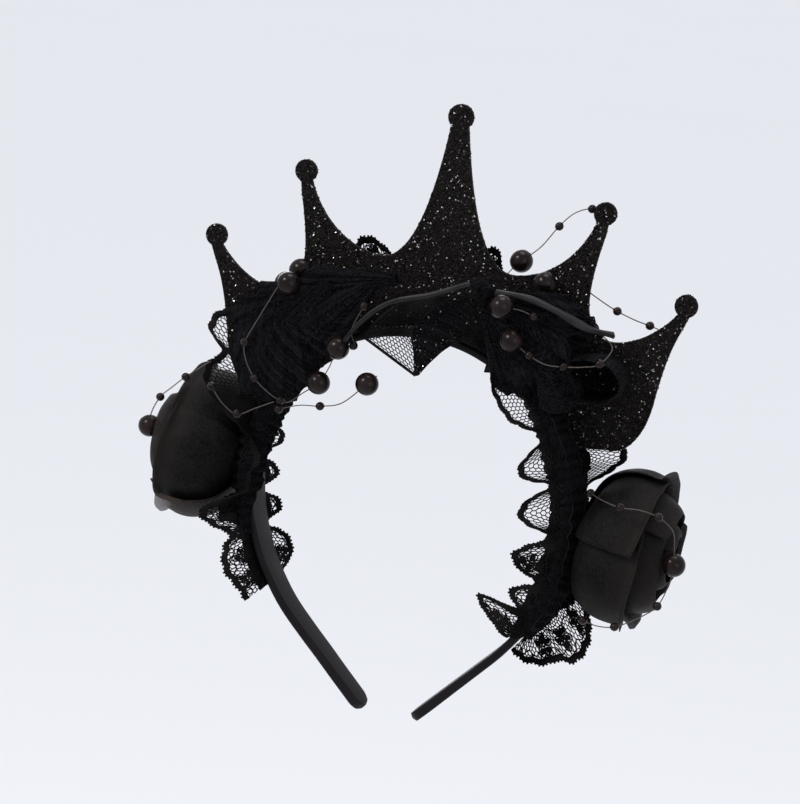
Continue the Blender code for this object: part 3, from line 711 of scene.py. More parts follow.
def bezier(name, steps):
    pulls = CROWN_CURVES[name]
    spots = []
    for i in range(steps + 1):
        t = i / steps
        w = ((1 - t) ** 3, 3 * t * (1 - t) ** 2, 3 * t * t * (1 - t), t ** 3)
        spots.append((crown_half_span * sum(a * p[0] for a, p in zip(w, pulls)),
                      crown_height * sum(a * p[1] for a, p in zip(w, pulls))))
    return spots


def disc_arc(centre, radius, start, end, steps):
    """Points of the disc at a tip, the long way round from one neck point to the other."""
    a = math.atan2(start[1] - centre[1], start[0] - centre[0])
    b = math.atan2(end[1] - centre[1], end[0] - centre[0])
    while b > a:
        b -= 2 * math.pi
    return [(centre[0] + radius * math.cos(a + (b - a) * i / steps),
             centre[1] + radius * math.sin(a + (b - a) * i / steps)) for i in range(steps + 1)]


def in_crown(spot):
    return (spot[0] * crown_half_span, spot[1] * crown_height)


def crown_half():
    line = bezier("centre_to_inner", 22)
    line += bezier("inner_to_second", 20)[1:-1]
    line += disc_arc(in_crown(CROWN_TIPS["second"]), disc_radius,
                     in_crown(CROWN_CURVES["inner_to_second"][-1]),
                     in_crown(CROWN_CURVES["second_to_outer"][0]), 22)
    line += bezier("second_to_outer", 20)[1:]
    line += bezier("outer_to_end", 14)[1:-1]
    line += disc_arc(in_crown(CROWN_TIPS["end"]), disc_radius,
                     in_crown(CROWN_CURVES["outer_to_end"][-1]),
                     in_crown(CROWN_CURVES["end_side"][0]), 22)
    line += bezier("end_side", 10)[1:]
    line += bezier("end_lobe", 12)[1:]
    return line


def crown_outline():
    half = crown_half()
    neck_x, neck_z = half[0]
    top = disc_arc((0.0, crown_height), centre_disc_radius, (-neck_x, neck_z), (neck_x, neck_z), 24)
    outline = top[:-1] + half
    seat_steps = 70
    for i in range(seat_steps + 1):
        share = crown_seat_right - (crown_seat_right + crown_seat_left) * i / seat_steps
        spot = band_place(share, strap_thick + piece_gap, 0)
        outline.append((spot.x - crown_shift, spot.z))
    outline += [(-x, z) for x, z in reversed(half[1:])]
    return [(x + crown_shift, z) for x, z in outline]


def inside(outline, x, z):
    """Which points lie inside the outline, by counting crossings."""
    result = np.zeros(len(x), dtype=bool)
    count = len(outline)
    for k in range(count):
        x1, z1 = outline[k]
        x2, z2 = outline[(k + 1) % count]
        if z1 == z2:
            continue
        crosses = (z1 > z) != (z2 > z)
        result ^= crosses & (x < (x2 - x1) * (z - z1) / (z2 - z1) + x1)
    return result


def grain_points(spots, normals, draw, radius):
    """Flat four-sided grains, one on each spot, turned and tilted at random."""
    count = len(spots)
    tilt = draw.normal(0, 0.42, (count, 3))
    up = normals + tilt
    up /= np.linalg.norm(up, axis=1)[:, None]
    side = np.cross(up, draw.normal(0, 1, (count, 3)))
    side /= np.linalg.norm(side, axis=1)[:, None]
    cross = np.cross(up, side)
    size = radius * draw.uniform(0.6, 1.15, count)[:, None]
    corners = [spots + up * size * 0.55]
    for k in range(3):
        a = 2 * math.pi * k / 3
        corners.append(spots + (side * math.cos(a) + cross * math.sin(a)) * size - up * size * 0.12)
    points = np.stack(corners, axis=1).reshape(-1, 3)
    base = np.arange(count)[:, None] * 4
    faces = np.concatenate([base + np.array(f) for f in ((0, 1, 2), (0, 2, 3), (0, 3, 1), (1, 3, 2))])
    return points, faces


def build_crown():
    outline = crown_outline()
    count = len(outline)
    half_thick = crown_thick / 2 - 0.1
    points = [(x, -half_thick, z) for x, z in outline] + [(x, half_thick, z) for x, z in outline]
    faces = [tuple(range(count)), tuple(reversed(range(count, 2 * count)))]
    for k in range(count):
        m = (k + 1) % count
        faces.append((k, k + count, m + count, m))
    shape = Shape()
    shape.add(points, faces)
    sheet = shape.piece("crown_sheet", [GLITTER_BASE], soft=False)
    dress(sheet, ["crown"])

    draw = np.random.RandomState(11)
    low_x, high_x = min(p[0] for p in outline), max(p[0] for p in outline)
    low_z, high_z = min(p[1] for p in outline), max(p[1] for p in outline)
    for name, facing in (("crown_glitter_front", -1), ("crown_glitter_back", 1)):
        spots = np.zeros((0, 3))
        while len(spots) < grains_per_side:
            x = draw.uniform(low_x, high_x, 20000)
            z = draw.uniform(low_z, high_z, 20000)
            keep = inside(outline, x, z)
            y = facing * (half_thick + draw.uniform(-0.05, 0.12, 20000))
            spots = np.concatenate([spots, np.stack([x, y, z], axis=1)[keep]])
        spots = spots[:grains_per_side]
        normals = np.tile((0.0, float(facing), 0.0), (grains_per_side, 1))
        points, faces = grain_points(spots, normals, draw, grain_radius)
        if facing < 0:
            line = np.array(outline + [outline[0]])
            steps = np.linalg.norm(np.diff(line, axis=0), axis=1)
            far = np.concatenate([[0], np.cumsum(steps)])
            at = draw.uniform(0, far[-1], grains_on_edge)
            x = np.interp(at, far, line[:, 0])
            z = np.interp(at, far, line[:, 1])
            k = np.clip(np.searchsorted(far, at) - 1, 0, count - 1)
            along = (line[k + 1] - line[k]) / np.maximum(steps[k], 1e-9)[:, None]
            edge = np.stack([-along[:, 1], np.zeros(len(at)), along[:, 0]], axis=1)
            rim = np.stack([x, draw.uniform(-half_thick, half_thick, len(at)), z], axis=1)
            more, more_faces = grain_points(rim - edge * 0.08, edge, draw, grain_radius * 0.85)
            faces = np.concatenate([faces, more_faces + len(points)])
            points = np.concatenate([points, more])
        shape = Shape()
        shape.add(points, faces.tolist())
        grains = shape.piece(name, [GLITTER_GRAIN_AND_PAINTED_GLINTS], soft=False)
        dress(grains)


# Gathered lace
# Columns: share of the side where the trim is sewn, share of the side at its rim, depth of the
# rim from the middle, distance of the rim out of the inner face (both shares of lace_width).
LACE_FRONT_LEFT = [
    (0.110, 0.110, -0.24, 0.22), (0.140, 0.135, -0.28, 0.34), (0.170, 0.175, -0.235, 0.26),
    (0.200, 0.195, -0.28, 0.48), (0.230, 0.235, -0.235, 0.36), (0.255, 0.255, -0.27, 0.66),
    (0.275, 0.278, -0.29, 0.80), (0.298, 0.302, -0.30, 0.78), (0.314, 0.316, -0.28, 0.56),
    (0.332, 0.332, -0.40, 0.58), (0.350, 0.352, -0.46, 0.52), (0.372, 0.376, -0.44, 0.30),
    (0.400, 0.404, -0.40, -0.06), (0.440, 0.445, -0.34, -0.18), (0.475, 0.475, -0.30, -0.10),
    (0.510, 0.510, -0.40, -0.10), (0.530, 0.530, -0.50, 0.18), (0.550, 0.550, -0.48, 0.32),
    (0.572, 0.575, -0.36, 0.26), (0.595, 0.595, -0.30, 0.14), (0.620, 0.618, -0.28, 0.24),
    (0.650, 0.652, -0.30, 0.28), (0.680, 0.686, -0.34, 0.20), (0.705, 0.712, -0.30, 0.20),
]
LACE_FRONT_RIGHT = [
    (0.070, 0.070, -0.24, 0.18), (0.100, 0.100, -0.27, 0.26), (0.130, 0.130, -0.24, 0.18),
    (0.150, 0.148, -0.32, 0.12), (0.168, 0.162, -0.50, 0.00), (0.190, 0.186, -0.56, -0.09),
    (0.222, 0.222, -0.58, -0.14), (0.252, 0.254, -0.56, -0.14), (0.276, 0.284, -0.50, -0.06),
    (0.302, 0.306, -0.36, -0.02), (0.322, 0.326, -0.46, -0.20), (0.348, 0.348, -0.52, -0.31),
    (0.374, 0.376, -0.46, -0.26), (0.398, 0.398, -0.31, -0.12), (0.418, 0.418, -0.42, -0.29),
    (0.446, 0.446, -0.46, -0.38), (0.472, 0.476, -0.42, -0.32), (0.496, 0.500, -0.30, -0.12),
    (0.520, 0.524, -0.40, -0.29), (0.548, 0.552, -0.42, -0.38), (0.572, 0.580, -0.38, -0.27),
    (0.590, 0.594, -0.28, -0.07), (0.610, 0.610, -0.36, -0.22), (0.632, 0.636, -0.36, -0.29),
    (0.654, 0.660, -0.32, -0.18), (0.672, 0.672, -0.42, -0.48), (0.690, 0.704, -0.34, -0.40),
    (0.706, 0.730, -0.24, -0.12),
]
LACE_BACK_LEFT = [
    (0.050, 0.050, 0.12, 0.50), (0.075, 0.075, 0.12, 0.72), (0.100, 0.097, 0.12, 0.79),
    (0.125, 0.122, 0.15, 0.58), (0.152, 0.152, 0.24, 0.30), (0.185, 0.185, 0.18, 0.46),
    (0.215, 0.218, 0.30, 0.14), (0.236, 0.234, 0.38, 0.01), (0.268, 0.270, 0.38, 0.00),
    (0.298, 0.300, 0.39, 0.03), (0.326, 0.326, 0.27, 0.10), (0.358, 0.358, 0.37, 0.03),
    (0.392, 0.392, 0.28, 0.08), (0.424, 0.424, 0.38, -0.10), (0.448, 0.446, 0.40, -0.12),
    (0.472, 0.474, 0.31, 0.02), (0.496, 0.495, 0.39, -0.08), (0.520, 0.518, 0.40, -0.09),
    (0.540, 0.540, 0.31, 0.04), (0.560, 0.560, 0.39, -0.08), (0.584, 0.584, 0.41, -0.10),
    (0.605, 0.605, 0.31, 0.04), (0.627, 0.626, 0.40, -0.06), (0.654, 0.654, 0.43, -0.11),
    (0.682, 0.682, 0.41, -0.06), (0.706, 0.704, 0.30, 0.08),
]
LACE_BACK_RIGHT = [
    (0.030, 0.030, 0.12, 0.52), (0.052, 0.050, 0.12, 0.66), (0.072, 0.070, 0.11, 0.82),
    (0.092, 0.094, 0.15, 0.52), (0.122, 0.122, 0.24, 0.30), (0.155, 0.155, 0.17, 0.50),
    (0.190, 0.190, 0.30, 0.20), (0.225, 0.225, 0.38, 0.04), (0.262, 0.262, 0.28, 0.20),
    (0.300, 0.300, 0.36, 0.06), (0.330, 0.330, 0.26, 0.24), (0.355, 0.357, 0.26, 0.34),
    (0.380, 0.384, 0.27, 0.44), (0.402, 0.406, 0.26, 0.26), (0.430, 0.430, 0.36, 0.02),
    (0.465, 0.465, 0.30, 0.05), (0.500, 0.500, 0.38, 0.00), (0.535, 0.535, 0.30, 0.05),
    (0.566, 0.566, 0.35, 0.05), (0.592, 0.590, 0.24, 0.12), (0.612, 0.612, 0.17, 0.24),
    (0.638, 0.640, 0.14, 0.40), (0.660, 0.672, 0.12, 0.50), (0.680, 0.704, 0.12, 0.50),
    (0.694, 0.722, 0.14, 0.38), (0.706, 0.742, 0.12, 0.32), (0.716, 0.764, 0.10, 0.16),
    (0.722, 0.766, 0.09, 0.02),
]
# Lobes of plain net, as runs of table rows; the rest carries flowers.
NET_LOBES = {
    "lace_front_left": ((4.4, 8.4), (8.6, 12)),
    "lace_front_right": ((3, 13), (13.2, 17)),
    "lace_back_left": ((7, 14.5),),
    "lace_back_right": ((9, 14),),
}
lace_seat = strap_thick + piece_gap + lace_thick / 2
strip_width = strap_width / 2 - 0.5 - lace_seam


class Trim:
    """A gathered trim as a surface: u runs along its rim, d in from the rim, in millimetres."""

    def __init__(self, name, rows, side):
        self.name = name
        self.rows = rows
        self.side = side
        self.last = len(rows) - 1
        fine = self.last * 24
        self.ts = np.linspace(0, self.last, fine + 1)
        rim = [self.point(t, 1.0) for t in self.ts]
        self.us = np.concatenate([[0], np.cumsum([(b - a).length for a, b in zip(rim, rim[1:])])])
        self.flares = np.array([self.flare(t) for t in self.ts])
        self.length = float(self.us[-1])

    def point(self, t, w):
        sewn, rim, depth, out = smooth(self.rows, min(max(t, 0.0), self.last))
        facing = -1 if depth < 0 else 1
        edge_y = facing * (strap_width / 2 - 0.5)
        if w <= 0:
            seam_y = facing * lace_seam
            y = seam_y + (edge_y - seam_y) * (1 + w)
            return band_place(self.side * sewn, lace_seat, y)
        rim_y = depth * lace_width
        rim_out = strap_thick + out * lace_width
        reach = math.hypot(rim_y - edge_y, rim_out - lace_seat)
        pull_y = edge_y + facing * lace_pull * reach
        keep = (1 - w) ** 2
        pull = 2 * w * (1 - w)
        y = keep * edge_y + pull * pull_y + w * w * rim_y
        over = keep * lace_seat + pull * lace_seat + w * w * rim_out
        return band_place(self.side * (sewn + (rim - sewn) * w), over, y)

    def flare(self, t):
        line = [self.point(t, k / 6) for k in range(7)]
        return sum((b - a).length for a, b in zip(line, line[1:]))

    def row(self, u):
        return float(np.interp(u, self.us, self.ts))

    def deep(self, u):
        """How far the trim reaches in from its rim at u."""
        return float(np.interp(u, self.us, self.flares)) + strip_width

    def at(self, u, d):
        t = self.row(u)
        flare = float(np.interp(u, self.us, self.flares))
        if d <= flare:
            return self.point(t, 1 - d / max(flare, 0.1))
        return self.point(t, -min(1.0, (d - flare) / strip_width))

    def facing(self, u, d):
        a = self.at(min(u + 0.4, self.length), d) - self.at(max(u - 0.4, 0), d)
        b = self.at(u, d + 0.4) - self.at(u, max(d - 0.4, 0))
        normal = a.cross(b)
        return normal.normalized() if normal.length > 1e-9 else Vector((0, 0, 1))

    def plain(self, u):
        t = self.row(u)
        return any(a <= t <= b for a, b in NET_LOBES[self.name])


scallop_pitch = 5.6
scallop_depth = 0.7
picot_pitch = 1.4


def scallop(u):
    return scallop_depth * (1 - abs(math.sin(math.pi * u / scallop_pitch)) ** 0.6)


def hex_net(trim, draw):
    """The trim's net as a mesh of open six-sided cells, thicker where it carries flowers."""
    across = net_pitch
    down = net_pitch * math.sqrt(3) / 2
    size = net_pitch / math.sqrt(3)
    keys = {}
    points = []
    weights = []
    faces = []
    rows = int((max(trim.flares) + strip_width) / down) + 1
    for j in range(rows):
        d = border_width * 0.6 + down * j + size * 0.5
        for i in range(int(trim.length / across) + 1):
            u = across * (i + 0.5 * (j % 2))
            corners = []
            for k in range(6):
                a = math.radians(90 + 60 * k)
                corners.append((u + size * math.cos(a), d + size * math.sin(a)))
            if any(v > trim.deep(min(max(x, 0), trim.length)) or x < 0 or x > trim.length
                   for x, v in corners):
                continue
            face = []
            for x, v in corners:
                key = (round(x * 50), round(v * 50))
                if key not in keys:
                    keys[key] = len(points)
                    plain = trim.plain(x)
                    loose = 0.05 if plain else 0.24
                    spot = trim.at(min(max(x + draw.uniform(-loose, loose), 0), trim.length),
                                   max(v + draw.uniform(-loose, loose), 0.3))
                    points.append(spot)
                    weights.append(net_thread / floral_thread if plain else 1.0)
                face.append(keys[key])
            faces.append(tuple(face))
    shape = Shape()
    shape.add(points, faces)
    net = shape.piece(f"{trim.name}_net", [LACE])
    group = net.vertex_groups.new(name="thread")
    for index, weight in enumerate(weights):
        group.add([index], weight, "REPLACE")
    wire = net.modifiers.new("wire", "WIREFRAME")
    wire.thickness = floral_thread * MM
    wire.use_even_offset = False
    wire.use_relative_offset = False
    wire.use_boundary = True
    wire.use_replace = True
    wire.vertex_group = "thread"
    return evaluated(net)


def border(trim, shape):
    """The dense scalloped edge: a stitched band with a cord on each side and picots outside."""
    step = 0.45
    count = int(trim.length / step)
    outer = []
    inner = []
    rings = []
    for i in range(count + 1):
        u = trim.length * i / count
        edge = scallop(u)
        normal = trim.facing(u, edge + 0.4)
        half = 0.16 + 0.11 * (i % 2)
        ring = []
        for d, thick in ((edge, 0.6), (edge + border_width * 0.5, 1.0), (edge + border_width, 0.6)):
            spot = trim.at(u, d)
            ring.append(spot + normal * half * thick)
            ring.append(spot - normal * half * thick)
        rings.append([ring[0], ring[2], ring[4], ring[5], ring[3], ring[1]])
        outer.append(trim.at(u, edge + 0.05))
        inner.append(trim.at(u, edge + border_width))
    n = 6
    faces = [tuple(range(n)), tuple(reversed(range(count * n, (count + 1) * n)))]
    for i in range(count):
        for k in range(n):
            m = (k + 1) % n
            faces.append((i * n + k, (i + 1) * n + k, (i + 1) * n + m, i * n + m))
    shape.add([p for ring in rings for p in ring], faces)
    shape.tube(outer[::2], 0.26, 5)
    shape.tube(inner[::2], 0.20, 5)
    for i in range(int(trim.length / picot_pitch)):
        u = picot_pitch * (i + 0.5)
        small = 0.55 if trim.plain(u) else 1.0
        edge = scallop(u)
        spot = trim.at(u, edge)
        away = (spot - trim.at(u, edge + 0.8)).normalized()
        shape.ball(spot + away * 0.30 * small, 0.42 * small, 6, 4, axis=away)


def flower(trim, shape, u, d, size, turn):
    """A flower worked in cord: five petals with a ring inside each, and a ring at the middle."""
    def on_trim(x, v):
        x = min(max(u + x, 0.3), trim.length - 0.3)
        return trim.at(x, min(max(d + v, 0.5), trim.deep(x) - 0.2))

    for k in range(5):
        a = turn + 2 * math.pi * k / 5
        for long, wide, radius in ((1.0, 0.72, 0.30), (0.55, 0.38, 0.24)):
            line = []
            for i in range(10):
                b = 2 * math.pi * i / 10
                x = size * (1.25 + long * math.cos(b))
                v = size * wide * math.sin(b)
                line.append(on_trim(x * math.cos(a) - v * math.sin(a), x * math.sin(a) + v * math.cos(a)))
            shape.loop(line, radius)
            if wide < 0.5:
                shape.pad(line, 0.22)
    ring = []
    for i in range(8):
        b = 2 * math.pi * i / 8
        ring.append(on_trim(size * 0.42 * math.cos(b), size * 0.42 * math.sin(b)))
    shape.loop(ring, 0.28)


def vine(trim, shape, start, end, base, swing, pitch):
    count = max(4, int((end - start) / 0.8))
    line = []
    for i in range(count + 1):
        u = start + (end - start) * i / count
        d = base + swing * math.sin(2 * math.pi * u / pitch)
        line.append(trim.at(u, min(max(d, 0.6), trim.deep(u) - 0.2)))
    shape.tube(line, 0.26, 5)


flower_pitch = 10.5
gather_pitch = 3.4
gather_swing = 0.55
gather_behind = 0.6
gather_heading = 2.4
# How far the gathers reach from the seam to the rim, as shares: behind plain net, behind flowers.
GATHER_REACH = {
    "lace_front_left": (0.60, 0.72), "lace_front_right": (0.22, 0.64),
    "lace_back_left": (0.50, 0.70), "lace_back_right": (0.45, 0.70),
}


def build_gather(trim):
    """The pleats of the trim that lie on one another near its seam, a dense sheet behind its net."""
    steps = int(trim.length / 0.7)
    us = [trim.length * i / steps for i in range(steps + 1)]
    plain, floral = GATHER_REACH[trim.name]
    reach = np.array([plain if trim.plain(u) else floral for u in us])
    reach[int(0.84 * len(reach)):] *= 0.6
    reach = np.convolve(np.pad(reach, 6, mode="edge"), np.ones(13) / 13, mode="valid")
    waver = ripple(len(us), 5, 0.5, 2.2)
    facing = -1 if trim.rows[0][2] < 0 else 1
    grid = []
    for u, far in zip(us, reach):
        t = trim.row(u)
        flare = float(np.interp(u, trim.us, trim.flares))
        line = []
        sewn = trim.side * smooth(trim.rows, t)[0]
        line.append(tuple(band_place(sewn, lace_seat + gather_heading, facing * lace_seam)))
        for j in range(-2, 11):
            w = j / 2.2 if j < 0 else far * (1 + 0.10 * waver(u * 0.7)) * j / 10
            if w < 0:
                line.append(tuple(trim.point(t, w)))
                continue
            away = trim.facing(u, flare * (1 - w))
            if away.y * facing > 0:
                away = -away
            swing = gather_swing * w * math.sin(2 * math.pi * u / gather_pitch + 1.5 * waver(u * 0.2))
            line.append(tuple(trim.point(t, w) + away * (gather_behind * (0.4 + w) + swing)))
        grid.append(line)
    name = trim.name.replace("lace", "lace_gather")
    made, _, area = cloth(name, grid, TULLE_DENSE, 0.25)
    dress(made)


def build_lace(name, rows, side):
    trim = Trim(name, rows, side)
    draw = np.random.RandomState(sum(map(ord, name)))
    shape = Shape()
    points, faces = hex_net(trim, draw)
    shape.add(points, faces)
    border(trim, shape)
    start = None
    steps = int(trim.length)
    for u in range(steps + 1):
        floral = not trim.plain(float(u)) and u < steps
        if floral and start is None:
            start = float(u)
        if not floral and start is not None:
            end = float(u)
            if end - start > 6:
                vine(trim, shape, start, end, 2.6, 0.7, 5.6)
                vine(trim, shape, start, end, 8.6, 1.1, 10.5)
                for k in range(max(1, int((end - start) / flower_pitch))):
                    spot = start + flower_pitch * (k + 0.5)
                    flower(trim, shape, min(spot, end - 2), 5.6 + 0.8 * (-1) ** k, 1.75, 0.6 * k)
            start = None
    lace = shape.piece(name.replace("lace", "lace_trim"), [LACE])
    dress(lace, [name])
    build_gather(trim)


# Frills drawn round the strap's front edge.
# Columns: share of the side, reach out of the inner face, reach to the inside, depth of the fold.
FRILL_LEFT = [
    (-0.16, 7.0, 2.0, 11.5), (-0.20, 7.5, 3.0, 12.5), (-0.25, 7.0, 4.5, 13.0), (-0.30, 7.0, 5.5, 13.0),
    (-0.35, 6.5, 6.0, 12.5), (-0.40, 6.0, 6.0, 12.0), (-0.45, 6.0, 5.5, 12.0), (-0.50, 6.5, 4.5, 12.0),
    (-0.53, 6.0, 2.0, 11.5), (-0.56, 5.0, 0.0, 11.0), (-0.60, 5.0, -1.0, 10.5),
]
FRILL_RIGHT = [
    (0.14, 8.0, 1.5, 12.5), (0.18, 8.5, 0.5, 13.0), (0.24, 9.0, 0.5, 13.0), (0.30, 9.0, 2.5, 12.5),
    (0.36, 8.5, 4.0, 12.5), (0.42, 8.0, 3.5, 12.0), (0.48, 7.5, 4.0, 12.0), (0.54, 7.5, 3.5, 12.0),
    (0.60, 8.0, 3.5, 12.0), (0.66, 7.0, 3.0, 11.5), (0.70, 4.0, 1.5, 10.5),
]
frill_pitch = 3.8
frill_back = 8.0


def build_frill(name, table, seed):
    """A gathered double edge of lace net that wraps the front edge of the strap."""
    waver = ripple(seed, 5, 0.3, 1.3)
    rough = ripple(seed + 1, 5, 0.5, 2.4)
    start, end = table[0][0], table[-1][0]
    steps = int(abs(end - start) * side_length / 0.6)
    grid = []
    for i in range(steps + 1):
        f = i / steps
        share, outer, inner, deep = smooth(table, (len(table) - 1) * f)
        far = abs(share) * side_length
        pleat = math.sin(2 * math.pi * far / frill_pitch + 1.6 * waver(far))
        line = []
        for j in range(19):
            q = j / 18
            reach_out = outer * (1 + 0.16 * rough(far))
            reach_in = inner * (1 + 0.16 * rough(far + 40))
            keep, pull, last = (1 - q) ** 2, 2 * q * (1 - q), q * q
            out = keep * reach_out + pull * (reach_out - reach_in) / 2 - last * reach_in
            y = -frill_back * (keep + last) - pull * (2 * deep - frill_back)
            away = abs(2 * q - 1)
            y += 0.75 * pleat * (0.35 + 0.65 * away) + 0.5 * waver(far * 0.6 + 3 * q)
            out += 0.35 * pleat * (2 * q - 1) + 0.6 * rough(far * 0.5 + 5 * q) * away
            line.append(tuple(band_place(share, out, y)))
        grid.append(line)
    made, _, area = cloth(name, grid, TULLE_DENSE, 0.25)
    dress(made)
    edges = Shape()
    for column in (0, 5, 18):
        line = [grid[i][column] for i in range(0, len(grid), 2)]
        edges.tube([Vector(p) - Vector((0, 0.25, 0)) for p in line], 0.34, 5)
    cord = edges.piece(name.replace("frill", "frill_cord"), [LACE])
    dress(cord)


# Tulle
# Columns: turn in degrees about the gathered point, reach as a share of tulle_reach.
FAN_LEFT = [
    (-28, 0.50), (-55, 0.55), (-75, 0.70), (-92, 0.82), (-110, 0.90), (-128, 0.66), (-150, 0.52),
    (-168, 0.44),
]
FAN_RIGHT = [
    (0, 0.60), (-8, 0.84), (-17, 0.88), (-28, 0.68), (-46, 0.60), (-64, 0.52), (-84, 0.34),
]
fan_left_place = (-0.177, 24.0)
fan_right_place = (0.088, 25.5)
fan_left_depth = 13.9
fan_right_depth = 10.5
fan_bulge = 5.0
fan_pleat = 1.5


def fan_grid(table, place, depth, pleats, seed, lift, share, fine):
    apex = band_place(place[0], place[1], -depth)
    steps = pleats * 24
    rings = 22
    waver = ripple(seed, 5, 8.0, 40.0)
    curl = ripple(seed + 1, 4, 14.0, 60.0)
    grid = []
    for i in range(steps + 1):
        f = i / steps
        turn, reach = smooth(table, (len(table) - 1) * f)
        angle = math.radians(turn)
        phase = math.pi * (2 * pleats * f) + math.pi
        fold = -math.cos(phase) * 0.8 + 0.5 * waver(f)
        crease = math.sin(phase * fine + 2.0 * waver(f))
        line = []
        for j in range(rings + 1):
            v = 0.06 + 0.94 * j / rings
            span = reach * tulle_reach * v * share * (1 + 0.03 * curl(f) * v)
            y = -depth - fan_bulge * math.sin(math.pi * min(1.0, v * 0.85))
            y -= (fan_pleat * fold + 0.35 * crease) * v + lift
            sway = 0.012 * crease * v + 0.03 * waver(f * 1.7 + v) * v
            line.append((apex.x + span * math.cos(angle + sway), y, apex.z + span * math.sin(angle + sway)))
        grid.append(line)
    return grid


def build_fan(name, table, place, depth, pleats, seed):
    for part, lift, share, fine in (("outer", 0.35, 1.0, 3.0), ("under", -0.45, 0.93, 4.0)):
        grid = fan_grid(table, place, depth, pleats, seed, lift, share, fine)
        made, flat, area = cloth(f"{name}_{part}", grid, TULLE_DENSE if part == "under" else TULLE,
                                 tulle_thick)
        dress(made, [name] if part == "outer" else ())
        seed += 7


# Loops of the bow. Columns: place along and out of the strap, depth, turn in degrees, length,
# half width, puff.
LOOPS_LEFT = [
    ((-0.030, 21.0), 16.0, 196, 36.0, 9.0, 5.0), ((-0.060, 20.0), 17.5, 226, 33.0, 9.5, 5.5),
    ((-0.120, 23.0), 16.5, 240, 30.0, 9.0, 5.0), ((-0.150, 22.0), 16.0, 205, 22.0, 8.0, 4.5),
    ((-0.150, 24.0), 15.5, 268, 30.0, 8.5, 4.0),
]
LOOPS_RIGHT = [
    ((0.095, 24.0), 15.5, -8, 34.0, 8.0, 4.5), ((0.100, 22.0), 16.5, -34, 36.0, 9.5, 5.5),
    ((0.105, 19.0), 16.0, -60, 30.0, 8.5, 5.0), ((0.190, 20.0), 14.5, -62, 24.0, 8.5, 4.5),
]


def build_loop(name, row, seed):
    """A folded loop of tulle: out from its gathered foot, round, and back in front of itself."""
    place, deep, turn, long, half, puff = row
    foot = band_place(place[0], place[1], -deep)
    angle = math.radians(turn)
    out = Vector((math.cos(angle), 0, math.sin(angle)))
    side = Vector((-math.sin(angle), 0, math.cos(angle)))
    waver = ripple(seed, 5, 3.0, 11.0)
    fine = ripple(seed + 1, 5, 9.0, 40.0)
    steps = 70
    grid = []
    for i in range(steps + 1):
        f = i / steps
        swell = math.sin(math.pi * min(max(f, 0.001), 0.999))
        line = []
        for j in range(33):
            v = j / 16 - 1
            pleat = 1.4 * waver(v * 2.2) + 0.3 * fine(v)
            far = long * swell ** 0.85 * (1 - 0.20 * v * v + 0.05 * waver(v + 1.5))
            wide = half * (0.16 + 0.84 * swell ** 0.75) * v * (1 + 0.06 * waver(f * 2))
            y = puff * (0.5 - f) * 1.1 + 1.15 * pleat * (0.35 + 0.65 * swell)
            y += 0.9 * waver(f * 1.5 + 2) * swell - 0.8 * (1 - v * v) * (f - 0.3)
            line.append(tuple(foot + out * far + side * wide + Vector((0, y, 0))))
        grid.append(line)
    made, flat, area = cloth(name, grid, TULLE, tulle_thick)
    dress(made)


roll_place = (0.266, 26.0)
roll_radii = (11.0, 7.6)
roll_front = -20.5
roll_back = -1.4


def build_roll():
    """An open loop of tulle lying on the crown's right side."""
    centre = band_place(roll_place[0], roll_place[1], 0)
    waver = ripple(31, 5, 6.0, 26.0)
    grid = []
    steps = 90
    for i in range(steps + 1):
        f = i / steps
        a = math.radians(200 - 330 * f)
        line = []
        for j in range(17):
            v = j / 16
            y = roll_back + (roll_front - roll_back) * v
            grow = 0.86 + 0.44 * v - 0.32 * v * v + 0.035 * waver(f * 2 + v * 0.35)
            line.append((centre.x + roll_radii[0] * grow * math.cos(a), y + 0.5 * waver(f),
                         centre.z + roll_radii[1] * grow * math.sin(a)))
        grid.append(line)
    made, flat, area = cloth("tulle_loop", grid, TULLE, tulle_thick)
    dress(made, ["tulle_roll"])


# Net tail: left edge, fold line and right edge, each from the low end up.
# Columns: share of the side, distance out of the inner face, depth.
TAIL_LEFT = [
    (-0.088, 1.6, -16.6), (-0.066, 6.5, -17.0), (-0.040, 10.5, -17.2), (-0.010, 14.5, -17.2),
]
TAIL_FOLD = [
    (0.018, -10.6, -17.0), (0.012, -2.5, -18.6), (0.006, 6.0, -19.0), (0.060, 20.5, -19.4),
]
TAIL_RIGHT = [
    (0.025, -10.2, -17.0), (0.058, -1.0, -17.8), (0.089, 8.8, -18.0), (0.092, 22.4, -20.6),
]


def tail_point(a, b, s, t):
    low = band_place(*smooth(a, 3 * t))
    high = band_place(*smooth(b, 3 * t))
    return low.lerp(high, s)


def net_between(name, a, b, pitch, thread, wide, tall):
    """A hex net stretched between two edges, wide and tall being its rough size."""
    across = pitch
    down = pitch * math.sqrt(3) / 2
    size = pitch / math.sqrt(3)
    keys = {}
    points = []
    faces = []
    for j in range(int(tall / down) + 2):
        v = down * j
        for i in range(int(wide / across) + 2):
            u = across * (i + 0.5 * (j % 2))
            corners = [(u + size * math.cos(math.radians(90 + 60 * k)),
                        v + size * math.sin(math.radians(90 + 60 * k))) for k in range(6)]
            if not any(0 <= x <= wide and 0 <= y <= tall for x, y in corners):
                continue
            face = []
            for x, y in corners:
                key = (round(x * 50), round(y * 50))
                if key not in keys:
                    keys[key] = len(points)
                    points.append(tail_point(a, b, min(max(x / wide, 0), 1), min(max(y / tall, 0), 1)))
                face.append(keys[key])
            faces.append(tuple(face))
    shape = Shape()
    shape.add(points, faces)
    net = shape.piece(name, [LACE])
    wire = net.modifiers.new("wire", "WIREFRAME")
    wire.thickness = thread * MM
    wire.use_even_offset = False
    wire.use_relative_offset = False
    wire.use_boundary = True
    wire.use_replace = True
    return evaluated(net)


